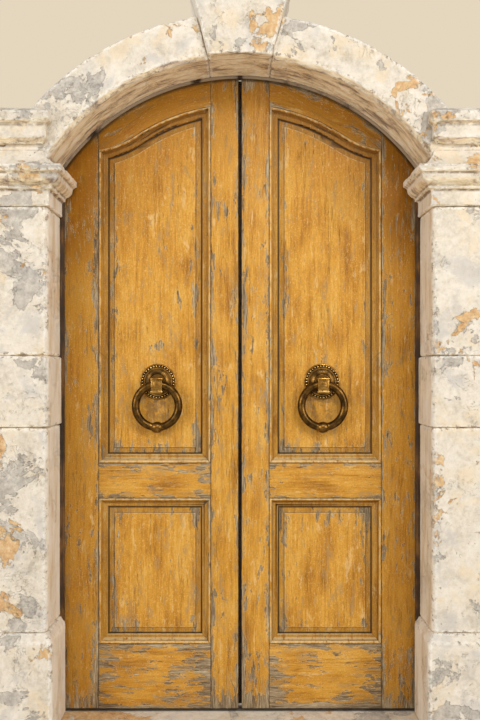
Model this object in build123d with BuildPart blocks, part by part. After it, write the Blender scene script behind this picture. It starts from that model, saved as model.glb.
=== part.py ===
from build123d import *
import os
from math import radians, sin, sqrt, tan

# Arched double-leaf door in its dressed stone surround, millimetres.
# The origin lies under the threshold, on the centreline, in the plane of the leaves' front face.
# +X runs to the viewer's right, +Y inwards and +Z up. Paired pieces are built on the right-hand side,
# then mirrored to the left.

# Doorway
opening_w = 1520.0       # between the stone reveals
spring_h = 2293.0        # from the threshold's top to the springing of the arch
arch_r = 922.0           # radius of the stone soffit
sill_h = 140.0           # height of the threshold slab
sill_inside = 120.0      # how far the slab runs in behind the leaves' front face
sill_nosing = 42.0       # how far the slab runs out in front of the plinths
sill_edge_r = 16.0       # its rounded front edge

# Stone surround
pilaster_w = 300.0       # width of a shaft
shaft_front = 235.0      # shaft face ahead of the leaves' front face
arch_front = 225.0       # arch stones' face
wall_front = 215.0       # face of the wall that the stones are bonded into
arch_w = 169.0           # radial width of the arch stones
plinth_h = 380.0         # up to its sloped top
plinth_slope_h = 30.0
plinth_proud = 23.0
plinth_lip = 2.0         # slope's top edge, proud of the shaft
lower_shaft_h = 810.0
middle_shaft_h = 285.0
middle_proud = 4.0
shaft_arris_r = 20.0
arch_arris = 16.0        # bevel on the lower front edge of the arch stones
bed_bevel = 4.0          # worn edges at the bed joints
mould_root = 10.0        # how far the swept mouldings run into the stone behind them

# Capital, from the shaft upwards
astragal_h = 9.0
astragal_proud = 10.0
neck_h = 56.0
neck_proud = 8.0
neck_fillet_h = 15.0
neck_fillet_proud = 22.0
ovolo_h = 40.0
ovolo_low_proud = 27.0
ovolo_proud = 54.0
ovolo_bulge_run = 0.8    # a point on its curve, as a share of its run and of its height
ovolo_bulge_h = 0.4
abacus_step = 5.0
abacus_h = 25.0
abacus_proud = 70.0
weather_h = 93.0         # concave slope over the abacus
weather_low_proud = 46.0
weather_top_proud = -10.0
weather_hollow = 9.0     # how far the slope sags below its chord
weather_reach = 100.0    # how far back from the shaft's face the slope is swept
weather_root = 75.0      # how far it runs into the stone behind it

# Impost block over the capital
impost_bed = 44.0        # its bed above the springing
impost_inset = 12.0      # its inner side, outside the reveal
impost_front = 247.0
impost_fillet_h = 11.0
impost_round = 14.0      # quarter round under the lower fascia
impost_fascia_h = 41.0
impost_hollow = 16.0     # hollow under the upper fascia
impost_upper_h = 38.0
impost_slope_h = 22.0    # sloped top

# Keystone
key_soffit_w = 250.0
key_angle = 15.0         # of its sides, from the vertical
key_proud = 28.0         # ahead of the arch stones
key_rise = 138.0         # above the arch stones' outer edge
key_bevel = 6.0

# Timber frame
frame_sight_w = 16.0     # seen between the reveal and the leaf
frame_sight_head_w = 8.0 # the same, under the arch
frame_lap = 12.0         # leaf edge hidden behind the frame's lip
frame_w = 64.0
lip_t = 12.0
lip_gap = 2.0            # between the lip and the leaf's front face

# Leaves
leaf_t = 58.0
leaf_gap = 3.0           # round the leaf's edge, in the frame's rebate
leaf_foot_gap = 10.0
meet_gap = 0.5           # between the two leaves' back lips
meet_groove_w = 13.0     # open groove in front of those lips
meet_lip_t = 6.0
hanging_stile_w = 155.0
meeting_stile_w = 124.0  # from the centreline
top_rail_w = 119.0
bottom_rail_h = 275.0
lower_opening_h = 619.0
lock_rail_h = 149.0
shoulder_r = 380.0       # reverse curve of the upper panel's head
shoulder_slope = 8.0     # of that curve where it meets the hanging stile
edge_bevel = 2.0

# Joinery of the leaves
tenon_t = 16.0
tenon_l = 90.0
tenon_shoulder = 32.0    # from a rail's edge to its tenon
tenon_clear = 0.3
head_tenon_l = 40.0      # of the arched rail, into the hanging stile
head_tenon_cover = 12.0  # wood over the end of that tenon
head_tenon_foot = 4.0    # from the panel groove to that tenon
tongue_t = 14.0
tongue_l = 12.0
tongue_front = 24.0      # behind the leaf's front face
groove_clear = 0.25
groove_spare = 1.0       # at the bottom of the panel grooves

# Panels and their mouldings
bevel_w = 28.0
bevel_rise = 5.0
field_step = 4.0
bead_d = 12.0
bead_proud = 2.0
bead_quirk = 4.0
quirk_w = 2.0
cove_w = 14.0
cove_drop = 8.0
cove_sag = 3.0
flat_w = 5.0
toe_r = 5.0
head_turn = 40.0         # sweep of the curved lengths, cut back at their mitres

# Knockers
knocker_x = 350.0
plate_z = 1399.0         # centre of the round plate above the threshold
plate_d = 154.0
plate_rim_t = 5.0
plate_edge_t = 3.0       # of the rim at its bevelled edge
plate_edge_w = 3.0       # width of that bevel
dome_d = 116.0
dome_rise = 12.0
boss_d = 64.0            # round boss behind the post
boss_rise = 2.0          # of its flat top above the dome's crown
boss_taper = 2.0
bead_count = 34
bead_circle_d = 133.0
bead_foot_r = 3.8
bead_h = 3.6
bead_taper = 28.0
post_w = 50.0
post_above = 26.5        # from the ring's bore to the post's top
post_below = 37.0
post_wall = 9.0          # in front of the ring's wire
post_round = 4.0
band_h = 10.0            # of the proud bands at the post's top and bottom
band_proud = 2.0
pad_w = 24.0
pad_h = 30.0
pad_t = 1.6
ring_d = 214.0
ring_wire_r = 16.5
ring_clear = 0.5         # of the wire in the post's bell-mouthed bore
bore_past = 1.0          # how far that bore is cut past the post's sides
ring_stand_off = 7.0     # of the wire, ahead of the leaf's front face
ring_drop = 11.0         # ring's bore below the plate's centre
ball_r = 24.0
ball_half_l = 29.0       # along the ring's wire
shank_r = 8.0
shank_clear = 0.5
washer_r = 20.0
washer_t = 3.0
nut_af = 27.0
nut_t = 11.0
nut_clear = 0.05
shank_end = 2.0          # past the nut

# Hinges
hinge_l = 124.0
hinge_plate_w = 40.0
hinge_plate_t = 4.0
knuckle_r = 7.5
knuckle_stand = 8.0      # of the pin's axis behind the leaf's back face
knuckle_count = 5
knuckle_gap = 0.4
knuckle_relief = 1.0     # more room between a plate and the other half's knuckles
pin_r = 4.0
pin_clear = 0.05
pin_head_r = 6.0
pin_head_t = 4.0
hinge_foot = 280.0       # lowest and highest hinge, from the threshold
hinge_head = 2150.0
hinge_count = 3

# Bolts on the inside
bolt_x = 62.0            # of the upright bolts, from the centreline
bolt_r = 7.0
bolt_clear = 0.05
bolt_bevel = 1.75        # at the rod's ends
bolt_plate_w = 36.0
bolt_plate_t = 3.0
bolt_stand = 11.0        # rod's axis behind the leaf's back face
guide_w = 28.0
guide_l = 15.0
guide_wall = 3.0         # behind the rod
keeper_l = 30.0
keeper_clear = 0.6
grip_r = 6.0
grip_l = 24.0
top_bolt_l = 220.0
top_bolt_back = 14.0     # rod's end below the leaf's top edge
top_keeper_rise = 12.0   # keeper above the leaf's top edge
foot_bolt_l = 260.0
foot_bolt_back = 10.0    # rod's end above the leaf's lower edge
foot_socket_depth = 45.0
draw_bolt_l = 170.0
draw_bolt_back = 8.0     # rod's end and keeper from the centreline
guide_inset = 6.0        # from the rod's ends to its guides

# Worked-out places
jamb_x = opening_w / 2
outer_x = jamb_x + pilaster_w
spring_z = sill_h + spring_h
arch_z = spring_z - sqrt(arch_r**2 - jamb_x**2)
frame_front = lip_t + lip_gap
lip_x = jamb_x - frame_sight_w
lip_r = arch_r - frame_sight_head_w
leaf_x = lip_x + frame_lap
leaf_r = lip_r + frame_lap
rebate_x = leaf_x + leaf_gap
rebate_r = leaf_r + leaf_gap
frame_x = lip_x + frame_w
frame_r = lip_r + frame_w
arch_outer_r = arch_r + arch_w

leaf_low = sill_h + leaf_foot_gap
lower_panel_z = leaf_low + bottom_rail_h
lock_rail_z = lower_panel_z + lower_opening_h
upper_panel_z = lock_rail_z + lock_rail_h
panel_in_x = meeting_stile_w
panel_out_x = leaf_x - hanging_stile_w
crown_r = leaf_r - top_rail_w
shoulder_x = panel_out_x + shoulder_r * sin(radians(shoulder_slope))
shoulder_z = arch_z + sqrt((crown_r + shoulder_r) ** 2 - shoulder_x**2)

tongue_back = tongue_front + tongue_t
tenon_back = (leaf_t + tenon_t) / 2
mould_w = bead_d + quirk_w + cove_w + flat_w + toe_r
field_y = tongue_front - bevel_rise - field_step

plinth_top = sill_h + plinth_h + plinth_slope_h
middle_shaft_z = plinth_top + lower_shaft_h
upper_shaft_z = middle_shaft_z + middle_shaft_h
impost_z = spring_z + impost_bed
abacus_top = impost_z - weather_h
capital_h = astragal_h + neck_h + neck_fillet_h + ovolo_h + abacus_step + abacus_h
capital_z = abacus_top - capital_h
upper_shaft_h = capital_z - upper_shaft_z
impost_x = jamb_x + impost_inset
impost_h = (impost_fillet_h + impost_round + impost_fascia_h + impost_hollow
            + impost_upper_h + impost_slope_h)
key_foot_z = arch_z + sqrt(arch_r**2 - (key_soffit_w / 2) ** 2)
sill_front = shaft_front + plinth_proud + sill_nosing

pivot_y = -(ring_stand_off + ring_wire_r)
pivot_z = sill_h + plate_z - ring_drop
ring_r = ring_d / 2 - ring_wire_r
hinge_x = (leaf_x + rebate_x) / 2
hinge_y = leaf_t + knuckle_stand
bolt_y = leaf_t + bolt_stand


def front_plane(y):
    """Sketch plane facing the viewer at depth y: local x is +X, local y is +Z, it extrudes forwards."""
    return Plane.XZ.offset(-y)


def bar(x0, x1, y0, y1, mode=Mode.ADD):
    """Rectangle of the current sketch between two corners."""
    with Locations(((x0 + x1) / 2, (y0 + y1) / 2)):
        Rectangle(x1 - x0, y1 - y0, mode=mode)


def arch_height(radius, x):
    """Height of a curve that is concentric with the arch, at x."""
    return arch_z + sqrt(radius**2 - x**2)


def half_arch(half_w, radius, low, inner=0.0, mode=Mode.ADD):
    """Right-hand half of an arched outline, from x = inner to half_w and upwards from z = low."""
    start = (half_w, arch_height(radius, half_w))
    middle_x = (inner + half_w) / 2
    end = (inner, arch_height(radius, inner))
    with BuildLine() as outline:
        Polyline(end, (inner, low), (half_w, low), start)
        ThreePointArc(start, (middle_x, arch_height(radius, middle_x)), end)
    make_face(outline.edges(), mode=mode)


def write(part, name):
    """Label one finished piece and write its file."""
    part.label = name
    export_step(part, f"parts/{name}.step")


def write_pair(part, name):
    """Write a right-hand piece and its mirror image on the left."""
    write(part, f"right_{name}")
    write(mirror(part, about=Plane.YZ), f"left_{name}")


# Stone surround


def jamb_plan(proud):
    """Plan of a jamb stone, standing proud on the front, the reveal and the side before the wall."""
    bar(jamb_x - proud, outer_x + proud, -shaft_front - proud, -wall_front)
    bar(jamb_x - proud, outer_x, -wall_front, -frame_front)
    bar(frame_x, outer_x, -frame_front, leaf_t)


def proud_plane(x, y, z):
    """Sketch plane across a jamb's moulding: local x stands out of the reveal, local y is up."""
    return Plane((x, y, z), x_dir=(-1, 0, 0), z_dir=(0, 1, 0))


def moulding_path(inner_x, front, start_y, end_y, z):
    """Line that a stone moulding follows: along the reveal, the front and the outer side."""
    with BuildLine() as path:
        Polyline((inner_x, start_y, z), (inner_x, -front, z), (outer_x, -front, z), (outer_x, end_y, z))
    return path.wire()


def make_threshold():
    with BuildPart() as threshold:
        with BuildSketch():
            reach = outer_x + plinth_proud
            bar(-reach, reach, -sill_front, sill_inside)
        extrude(amount=sill_h)
        fillet(threshold.faces().sort_by(Axis.Y)[0].edges().sort_by(Axis.Z)[-1], sill_edge_r)
        with Locations((-bolt_x, bolt_y, sill_h)):
            Hole(radius=bolt_r + keeper_clear, depth=foot_socket_depth)
    write(threshold.part, "threshold")


def make_plinth():
    with BuildPart() as plinth:
        with BuildSketch(Plane.XY.offset(sill_h)):
            jamb_plan(plinth_proud)
        extrude(amount=plinth_h)
        with BuildSketch(Plane.XY.offset(sill_h + plinth_h)):
            jamb_plan(plinth_proud)
        with BuildSketch(Plane.XY.offset(plinth_top)):
            jamb_plan(plinth_lip)
        loft(ruled=True)
    write_pair(plinth.part, "plinth")


def shaft_block(low, height, proud):
    """One block of a shaft, with a rounded inner arris and worn bed edges."""
    with BuildPart() as block:
        with BuildSketch(Plane.XY.offset(low)):
            jamb_plan(proud)
        extrude(amount=height)
        fillet(block.edges().filter_by(Axis.Z).group_by(Axis.Y)[0].sort_by(Axis.X)[0], shaft_arris_r)
        chamfer(block.faces().sort_by(Axis.Y)[0].edges().filter_by(Axis.X), bed_bevel)
    return block.part


def make_shafts():
    write_pair(shaft_block(plinth_top, lower_shaft_h, 0.0), "lower_shaft_block")
    write_pair(shaft_block(middle_shaft_z, middle_shaft_h, middle_proud), "middle_shaft_block")
    write_pair(shaft_block(upper_shaft_z, upper_shaft_h, 0.0), "upper_shaft_block")


def capital_profile():
    """Section of the capital's mouldings: x is how far they stand proud, y is height over the shaft."""
    neck_z = astragal_h + neck_h
    ovolo_z = neck_z + neck_fillet_h
    step_z = ovolo_z + ovolo_h
    top = step_z + abacus_step + abacus_h
    ovolo_run = ovolo_proud - ovolo_low_proud
    with BuildLine() as section:
        Polyline((-mould_root, top), (-mould_root, 0), (0, 0))
        ThreePointArc((0, 0), (astragal_proud, astragal_h / 2), (neck_proud, astragal_h))
        Polyline((neck_proud, astragal_h), (neck_proud, neck_z), (neck_fillet_proud, neck_z),
                 (neck_fillet_proud, ovolo_z), (ovolo_low_proud, ovolo_z))
        ThreePointArc((ovolo_low_proud, ovolo_z),
                      (ovolo_low_proud + ovolo_run * ovolo_bulge_run, ovolo_z + ovolo_h * ovolo_bulge_h),
                      (ovolo_proud, step_z))
        Polyline((ovolo_proud, step_z), (abacus_proud, step_z + abacus_step), (abacus_proud, top),
                 (-mould_root, top))
    make_face(section.edges())


def weathering():
    """Concave slope over the capital, mitred round its corners and cut off at the arch stones' face."""
    run_back = weather_reach - shaft_front
    low = (weather_low_proud, 0)
    top = (weather_top_proud, weather_h)
    middle = ((low[0] + top[0]) / 2 - weather_hollow, weather_h / 2 - weather_hollow)
    with BuildPart() as slope:
        path = moulding_path(jamb_x, shaft_front, run_back, run_back, abacus_top)
        with BuildSketch(proud_plane(jamb_x, run_back, abacus_top)):
            with BuildLine():
                ThreePointArc(low, middle, top)
                Polyline(top, (-weather_root, weather_h), (-weather_root, 0), low)
            make_face()
        sweep(path=path, transition=Transition.RIGHT)
        split(bisect_by=Plane.XZ.offset(arch_front))
    return slope.part


def make_capital():
    slope = weathering()
    with BuildPart() as capital:
        with BuildSketch(Plane.XY.offset(capital_z)):
            jamb_plan(0.0)
        extrude(amount=abacus_top - capital_z)
        path = moulding_path(jamb_x, shaft_front, -frame_front, -wall_front, capital_z)
        with BuildSketch(proud_plane(jamb_x, -frame_front, capital_z)):
            capital_profile()
        sweep(path=path, transition=Transition.RIGHT)
        add(slope)
    write_pair(capital.part, "capital")


def impost_profile():
    """Section of the impost block's face: x is how far it stands proud, y is height over its bed."""
    round_z = impost_fillet_h + impost_round
    hollow_z = round_z + impost_fascia_h
    upper_z = hollow_z + impost_hollow
    slope_z = upper_z + impost_upper_h
    upper = impost_round + impost_hollow
    with BuildLine() as section:
        Polyline((-mould_root, impost_h), (-mould_root, 0), (0, 0), (0, impost_fillet_h))
        RadiusArc((0, impost_fillet_h), (impost_round, round_z), -impost_round)
        Line((impost_round, round_z), (impost_round, hollow_z))
        RadiusArc((impost_round, hollow_z), (upper, upper_z), impost_hollow)
        Polyline((upper, upper_z), (upper, slope_z), (-mould_root, impost_h))
    make_face(section.edges())


def make_impost():
    with BuildPart() as impost:
        with BuildSketch(front_plane(leaf_t)):
            bar(jamb_x, outer_x, abacus_top, impost_z + impost_h)
            with Locations((0, arch_z)):
                Circle(arch_outer_r, mode=Mode.SUBTRACT)
        extrude(amount=leaf_t + arch_front)
        with BuildSketch(Plane.XY.offset(impost_z)):
            bar(impost_x, outer_x, -impost_front, -arch_front)
        extrude(amount=impost_h)
        path = moulding_path(impost_x, impost_front, -arch_front, -wall_front, impost_z)
        with BuildSketch(proud_plane(impost_x, -arch_front, impost_z)):
            impost_profile()
        sweep(path=path, transition=Transition.RIGHT)
    write_pair(impost.part, "impost_block")


def key_wedge(top_z, mode=Mode.ADD):
    """Right-hand half of the keystone's outline, from its foot up to top_z."""
    foot_x = key_soffit_w / 2
    top_x = foot_x + (top_z - key_foot_z) * tan(radians(key_angle))
    with BuildLine() as wedge:
        Polyline((0, key_foot_z), (foot_x, key_foot_z), (top_x, top_z), (0, top_z), (0, key_foot_z))
    make_face(wedge.edges(), mode=mode)


def cut_frame_rebate():
    """Room for the timber frame in the back of the stone being built."""
    with BuildSketch(front_plane(leaf_t)) as room:
        half_arch(frame_x, frame_r, sill_h)
    extrude(room.sketch, amount=leaf_t + frame_front, mode=Mode.SUBTRACT)


def make_arch_stone():
    with BuildPart() as stone:
        with BuildSketch(front_plane(leaf_t)):
            with Locations((0, arch_z)):
                Circle(arch_outer_r)
            bar(0, outer_x, abacus_top, arch_z + arch_outer_r, mode=Mode.INTERSECT)
            half_arch(jamb_x, arch_r, abacus_top, mode=Mode.SUBTRACT)
            key_wedge(arch_z + arch_outer_r, mode=Mode.SUBTRACT)
        extrude(amount=leaf_t + arch_front)
        soffit = stone.faces().sort_by(Axis.Y)[0].edges().filter_by(GeomType.CIRCLE).sort_by(SortBy.LENGTH)
        chamfer(soffit[0], arch_arris)
        cut_frame_rebate()
    write_pair(stone.part, "arch_stone")


def make_keystone():
    top_z = arch_z + arch_outer_r + key_rise
    with BuildPart() as keystone:
        with BuildSketch(front_plane(leaf_t)):
            key_wedge(top_z)
            half_arch(key_soffit_w, arch_r, sill_h, mode=Mode.SUBTRACT)
        extrude(amount=leaf_t + arch_front + key_proud)
        sides = keystone.faces().sort_by(Axis.Y)[0].edges().filter_by(GeomType.LINE).sort_by(Axis.X)
        chamfer(sides[-1], key_bevel)
        cut_frame_rebate()
        mirror(about=Plane.YZ)
    write(keystone.part, "keystone")


# Timber frame


def frame_half(low_z, high_z):
    """Right-hand half of the rebated timber frame between two heights."""
    with BuildPart() as member:
        with BuildSketch(front_plane(leaf_t)):
            half_arch(frame_x, frame_r, sill_h)
            half_arch(lip_x, lip_r, sill_h, mode=Mode.SUBTRACT)
            bar(0, outer_x, low_z, high_z, mode=Mode.INTERSECT)
        extrude(amount=leaf_t + frame_front)
        with BuildSketch(front_plane(leaf_t)):
            half_arch(rebate_x, rebate_r, sill_h)
        extrude(amount=leaf_t + lip_gap, mode=Mode.SUBTRACT)
    return member.part


def make_frame():
    write_pair(frame_half(sill_h, spring_z), "frame_jamb")
    write_pair(frame_half(spring_z, arch_z + frame_r), "frame_head")


# Leaves


def upper_outline(inset, mode=Mode.ADD):
    """Upper panel opening, drawn in from its edges by inset: a crowned head with a reverse curve."""
    low = upper_panel_z + inset
    in_x = panel_in_x + inset
    out_x = panel_out_x - inset
    crown = crown_r - inset
    shoulder = shoulder_r + inset
    meet = crown / (crown_r + shoulder_r)
    tangent = (shoulder_x * meet, arch_z + (shoulder_z - arch_z) * meet)
    in_z = arch_height(crown, in_x)
    out_z = shoulder_z - sqrt(shoulder**2 - (shoulder_x - out_x) ** 2)
    crown_x = (in_x + tangent[0]) / 2
    sweep_x = (out_x + tangent[0]) / 2
    sweep_z = shoulder_z - sqrt(shoulder**2 - (shoulder_x - sweep_x) ** 2)
    with BuildLine() as outline:
        Polyline((in_x, in_z), (in_x, low), (out_x, low), (out_x, out_z))
        ThreePointArc((out_x, out_z), (sweep_x, sweep_z), tangent)
        ThreePointArc(tangent, (crown_x, arch_height(crown, crown_x)), (in_x, in_z))
    make_face(outline.edges(), mode=mode)


def lower_outline(inset, mode=Mode.ADD):
    """Lower panel opening, drawn in from its edges by inset."""
    bar(panel_in_x + inset, panel_out_x - inset, lower_panel_z + inset, lock_rail_z - inset, mode=mode)


def cut_panel_grooves():
    """Grooves for the panels' tongues in the stile or rail being built."""
    for outline in (upper_outline, lower_outline):
        with BuildSketch(front_plane(tongue_back + groove_clear)) as groove:
            outline(-tongue_l - groove_spare)
        extrude(groove.sketch, amount=tongue_t + 2 * groove_clear, mode=Mode.SUBTRACT)


def rail_tenons():
    """Low and high edge of each rail's tenon."""
    return (
        (leaf_low + tenon_shoulder, lower_panel_z - tenon_shoulder),
        (lock_rail_z + tenon_shoulder, upper_panel_z - tenon_shoulder),
        (arch_height(crown_r, panel_in_x) + tenon_shoulder,
         arch_height(leaf_r, panel_in_x + tenon_l) - tenon_shoulder),
    )


def outer_tenon():
    """Low and high edge of the arched rail's short tenon into the hanging stile."""
    opening_top = shoulder_z - sqrt(shoulder_r**2 - (shoulder_x - panel_out_x) ** 2)
    low = opening_top + tongue_l + groove_spare + head_tenon_foot
    return low, arch_height(leaf_r, panel_out_x + head_tenon_l) - head_tenon_cover


def wood_piece(x0, x1):
    """Board of the leaf between two upright lines, shaped by the leaf's own outline."""
    half_arch(leaf_x, leaf_r, leaf_low)
    bar(x0, x1, leaf_low, arch_z + leaf_r, mode=Mode.INTERSECT)


def cut_mortises(x0, x1, spans):
    """Blind mortises across a stile, each with clearance round its tenon."""
    for low, high in spans:
        with BuildSketch(front_plane(tenon_back + tenon_clear)) as mortise:
            bar(x0, x1, low - tenon_clear, high + tenon_clear)
        extrude(mortise.sketch, amount=tenon_t + 2 * tenon_clear, mode=Mode.SUBTRACT)


def make_hanging_stile():
    low_tenon, lock_tenon, _ = rail_tenons()
    with BuildPart() as stile:
        with BuildSketch(front_plane(leaf_t)):
            wood_piece(panel_out_x, leaf_x)
        extrude(amount=leaf_t)
        cut_panel_grooves()
        cut_mortises(panel_out_x, panel_out_x + tenon_l + tenon_clear, (low_tenon, lock_tenon))
        cut_mortises(panel_out_x, panel_out_x + head_tenon_l + tenon_clear, [outer_tenon()])
    write_pair(stile.part, "hanging_stile")


def make_meeting_stile():
    with BuildPart() as stile:
        with BuildSketch(front_plane(leaf_t)):
            wood_piece(meet_gap / 2, panel_in_x)
        extrude(amount=leaf_t)
        with BuildSketch(front_plane(leaf_t - meet_lip_t)):
            bar(0, meet_groove_w / 2, leaf_low, arch_z + leaf_r)
        extrude(amount=leaf_t, mode=Mode.SUBTRACT)
        arris = stile.edges().filter_by(Axis.Z).group_by(Axis.Y)[0].sort_by(Axis.X)[0]
        chamfer(arris, edge_bevel)
        cut_panel_grooves()
        cut_mortises(panel_in_x - tenon_l - tenon_clear, panel_in_x, rail_tenons())
    write_pair(stile.part, "meeting_stile")


def make_rail(name, low, high, tenon, head=False):
    """A rail between the stiles, with its tenons and panel grooves. The head rail is arched."""
    outer = outer_tenon() if head else tenon
    outer_l = head_tenon_l if head else tenon_l
    with BuildPart() as rail:
        with BuildSketch(front_plane(leaf_t)):
            wood_piece(panel_in_x, panel_out_x)
            bar(panel_in_x, panel_out_x, low, high, mode=Mode.INTERSECT)
            if head:
                upper_outline(0, mode=Mode.SUBTRACT)
        extrude(amount=leaf_t)
        cut_panel_grooves()
        with BuildSketch(front_plane(tenon_back)):
            bar(panel_in_x - tenon_l, panel_in_x, *tenon)
            bar(panel_out_x, panel_out_x + outer_l, *outer)
        extrude(amount=tenon_t)
    write_pair(rail.part, name)


def make_rails():
    low_tenon, lock_tenon, head_tenon = rail_tenons()
    make_rail("bottom_rail", leaf_low, lower_panel_z, low_tenon)
    make_rail("lock_rail", lock_rail_z, upper_panel_z, lock_tenon)
    make_rail("top_rail", upper_panel_z, arch_z + leaf_r, head_tenon, head=True)


def raised_panel(outline, holes=()):
    """Panel with a tongue, a bevelled margin and a raised field, and holes for what passes through."""
    with BuildPart() as panel:
        with BuildSketch(front_plane(tongue_back)):
            outline(-tongue_l)
        extrude(amount=tongue_t)
        with BuildSketch(front_plane(tongue_front)):
            outline(mould_w)
        with BuildSketch(front_plane(tongue_front - bevel_rise)):
            outline(mould_w + bevel_w)
        loft(ruled=True)
        with BuildSketch(front_plane(field_y + field_step)):
            outline(mould_w + bevel_w)
        extrude(amount=field_step)
        for x, z, radius in holes:
            with BuildSketch(front_plane(tongue_back)):
                with Locations((x, z)):
                    Circle(radius)
            extrude(amount=leaf_t, mode=Mode.SUBTRACT)
    return panel.part


def make_panels():
    shank_hole = (knocker_x, sill_h + plate_z, shank_r + shank_clear)
    write_pair(raised_panel(upper_outline, [shank_hole]), "upper_panel")
    write_pair(raised_panel(lower_outline), "lower_panel")


# Panel mouldings


def mould_profile():
    """Section of a panel moulding: x runs in from the opening's edge, y forwards from the leaf's face."""
    foot = -tongue_front
    bead_y = bead_proud - bead_d / 2
    quirk_y = bead_y - bead_quirk
    cove_x = bead_d + quirk_w
    flat_x = cove_x + cove_w
    flat_y = quirk_y - cove_drop
    toe_x = flat_x + flat_w
    hollow = (cove_x + cove_w / 2 - cove_sag / 2, quirk_y - cove_drop / 2 - cove_sag)
    with BuildLine() as section:
        Polyline((0, foot), (0, bead_y))
        ThreePointArc((0, bead_y), (bead_d / 2, bead_proud), (bead_d, bead_y))
        Polyline((bead_d, bead_y), (bead_d, quirk_y), (cove_x, quirk_y))
        ThreePointArc((cove_x, quirk_y), hollow, (flat_x, flat_y))
        Line((flat_x, flat_y), (toe_x, flat_y))
        RadiusArc((toe_x, flat_y), (mould_w, flat_y - toe_r), toe_r)
        Polyline((mould_w, flat_y - toe_r), (mould_w, foot), (0, foot))
    make_face(section.edges())


forward = Vector(0, -1, 0)


def mould_plane(point, inward):
    """Plane across a moulding that lies on the opening's edge at point."""
    return Plane(point, x_dir=inward, z_dir=inward.cross(forward))


def mitre(corner, own, other):
    """Mitre plane at a corner, facing the side whose inward direction is own."""
    return Plane(corner, x_dir=forward, z_dir=other - own)


def straight_mould(start, end, inward, start_mitre, end_mitre):
    """Straight length of moulding between two mitres."""
    run = (end - start).length + 4 * mould_w
    along = (end - start).normalized()
    with BuildPart() as length:
        with BuildSketch(mould_plane(start - along * (2 * mould_w), inward)):
            mould_profile()
        extrude(amount=run, dir=along)
        split(bisect_by=start_mitre)
        split(bisect_by=end_mitre)
    return length.part


def make_lower_moulding():
    corners = [Vector(x, 0, z) for x, z in (
        (panel_in_x, lower_panel_z), (panel_out_x, lower_panel_z),
        (panel_out_x, lock_rail_z), (panel_in_x, lock_rail_z))]
    inward = [Vector(0, 0, 1), Vector(-1, 0, 0), Vector(0, 0, -1), Vector(1, 0, 0)]
    lengths = []
    for side in range(4):
        start, end = corners[side], corners[(side + 1) % 4]
        own, before, after = inward[side], inward[side - 1], inward[(side + 1) % 4]
        lengths.append(straight_mould(start, end, own, mitre(start, own, before), mitre(end, own, after)))
    write_pair(Compound(children=lengths), "lower_moulding")


def make_upper_moulding():
    crown_centre = Vector(0, 0, arch_z)
    shoulder_centre = Vector(shoulder_x, 0, shoulder_z)
    meet = crown_r / (crown_r + shoulder_r)
    tangent = crown_centre + (shoulder_centre - crown_centre) * meet
    in_top = Vector(panel_in_x, 0, arch_height(crown_r, panel_in_x))
    out_top = Vector(panel_out_x, 0, shoulder_z - sqrt(shoulder_r**2 - (shoulder_x - panel_out_x) ** 2))
    in_low = Vector(panel_in_x, 0, upper_panel_z)
    out_low = Vector(panel_out_x, 0, upper_panel_z)
    up, right, left = Vector(0, 0, 1), Vector(1, 0, 0), Vector(-1, 0, 0)
    in_head = (crown_centre - in_top).normalized()
    out_head = (out_top - shoulder_centre).normalized()
    lengths = [
        straight_mould(in_low, out_low, up, mitre(in_low, up, right), mitre(out_low, up, left)),
        straight_mould(out_low, out_top, left, mitre(out_low, left, up), mitre(out_top, left, out_head)),
        straight_mould(in_top, in_low, right, mitre(in_top, right, in_head), mitre(in_low, right, up)),
    ]
    with BuildPart() as head:
        with BuildSketch(mould_plane(tangent, (crown_centre - tangent).normalized())):
            mould_profile()
        revolve(axis=Axis(crown_centre, (0, -1, 0)), revolution_arc=head_turn)
        with BuildSketch(mould_plane(tangent, (crown_centre - tangent).normalized())):
            mould_profile()
        revolve(axis=Axis(shoulder_centre, (0, -1, 0)), revolution_arc=head_turn)
        split(bisect_by=mitre(in_top, in_head, right))
        split(bisect_by=mitre(out_top, out_head, left))
    lengths.append(head.part)
    write_pair(Compound(children=lengths), "upper_moulding")


# Knockers


def turned_plane(x, y, z):
    """Plane through a turned piece: local x is its radius, local y runs forwards."""
    return Plane((x, y, z), x_dir=(1, 0, 0), z_dir=(0, 0, -1))


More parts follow.
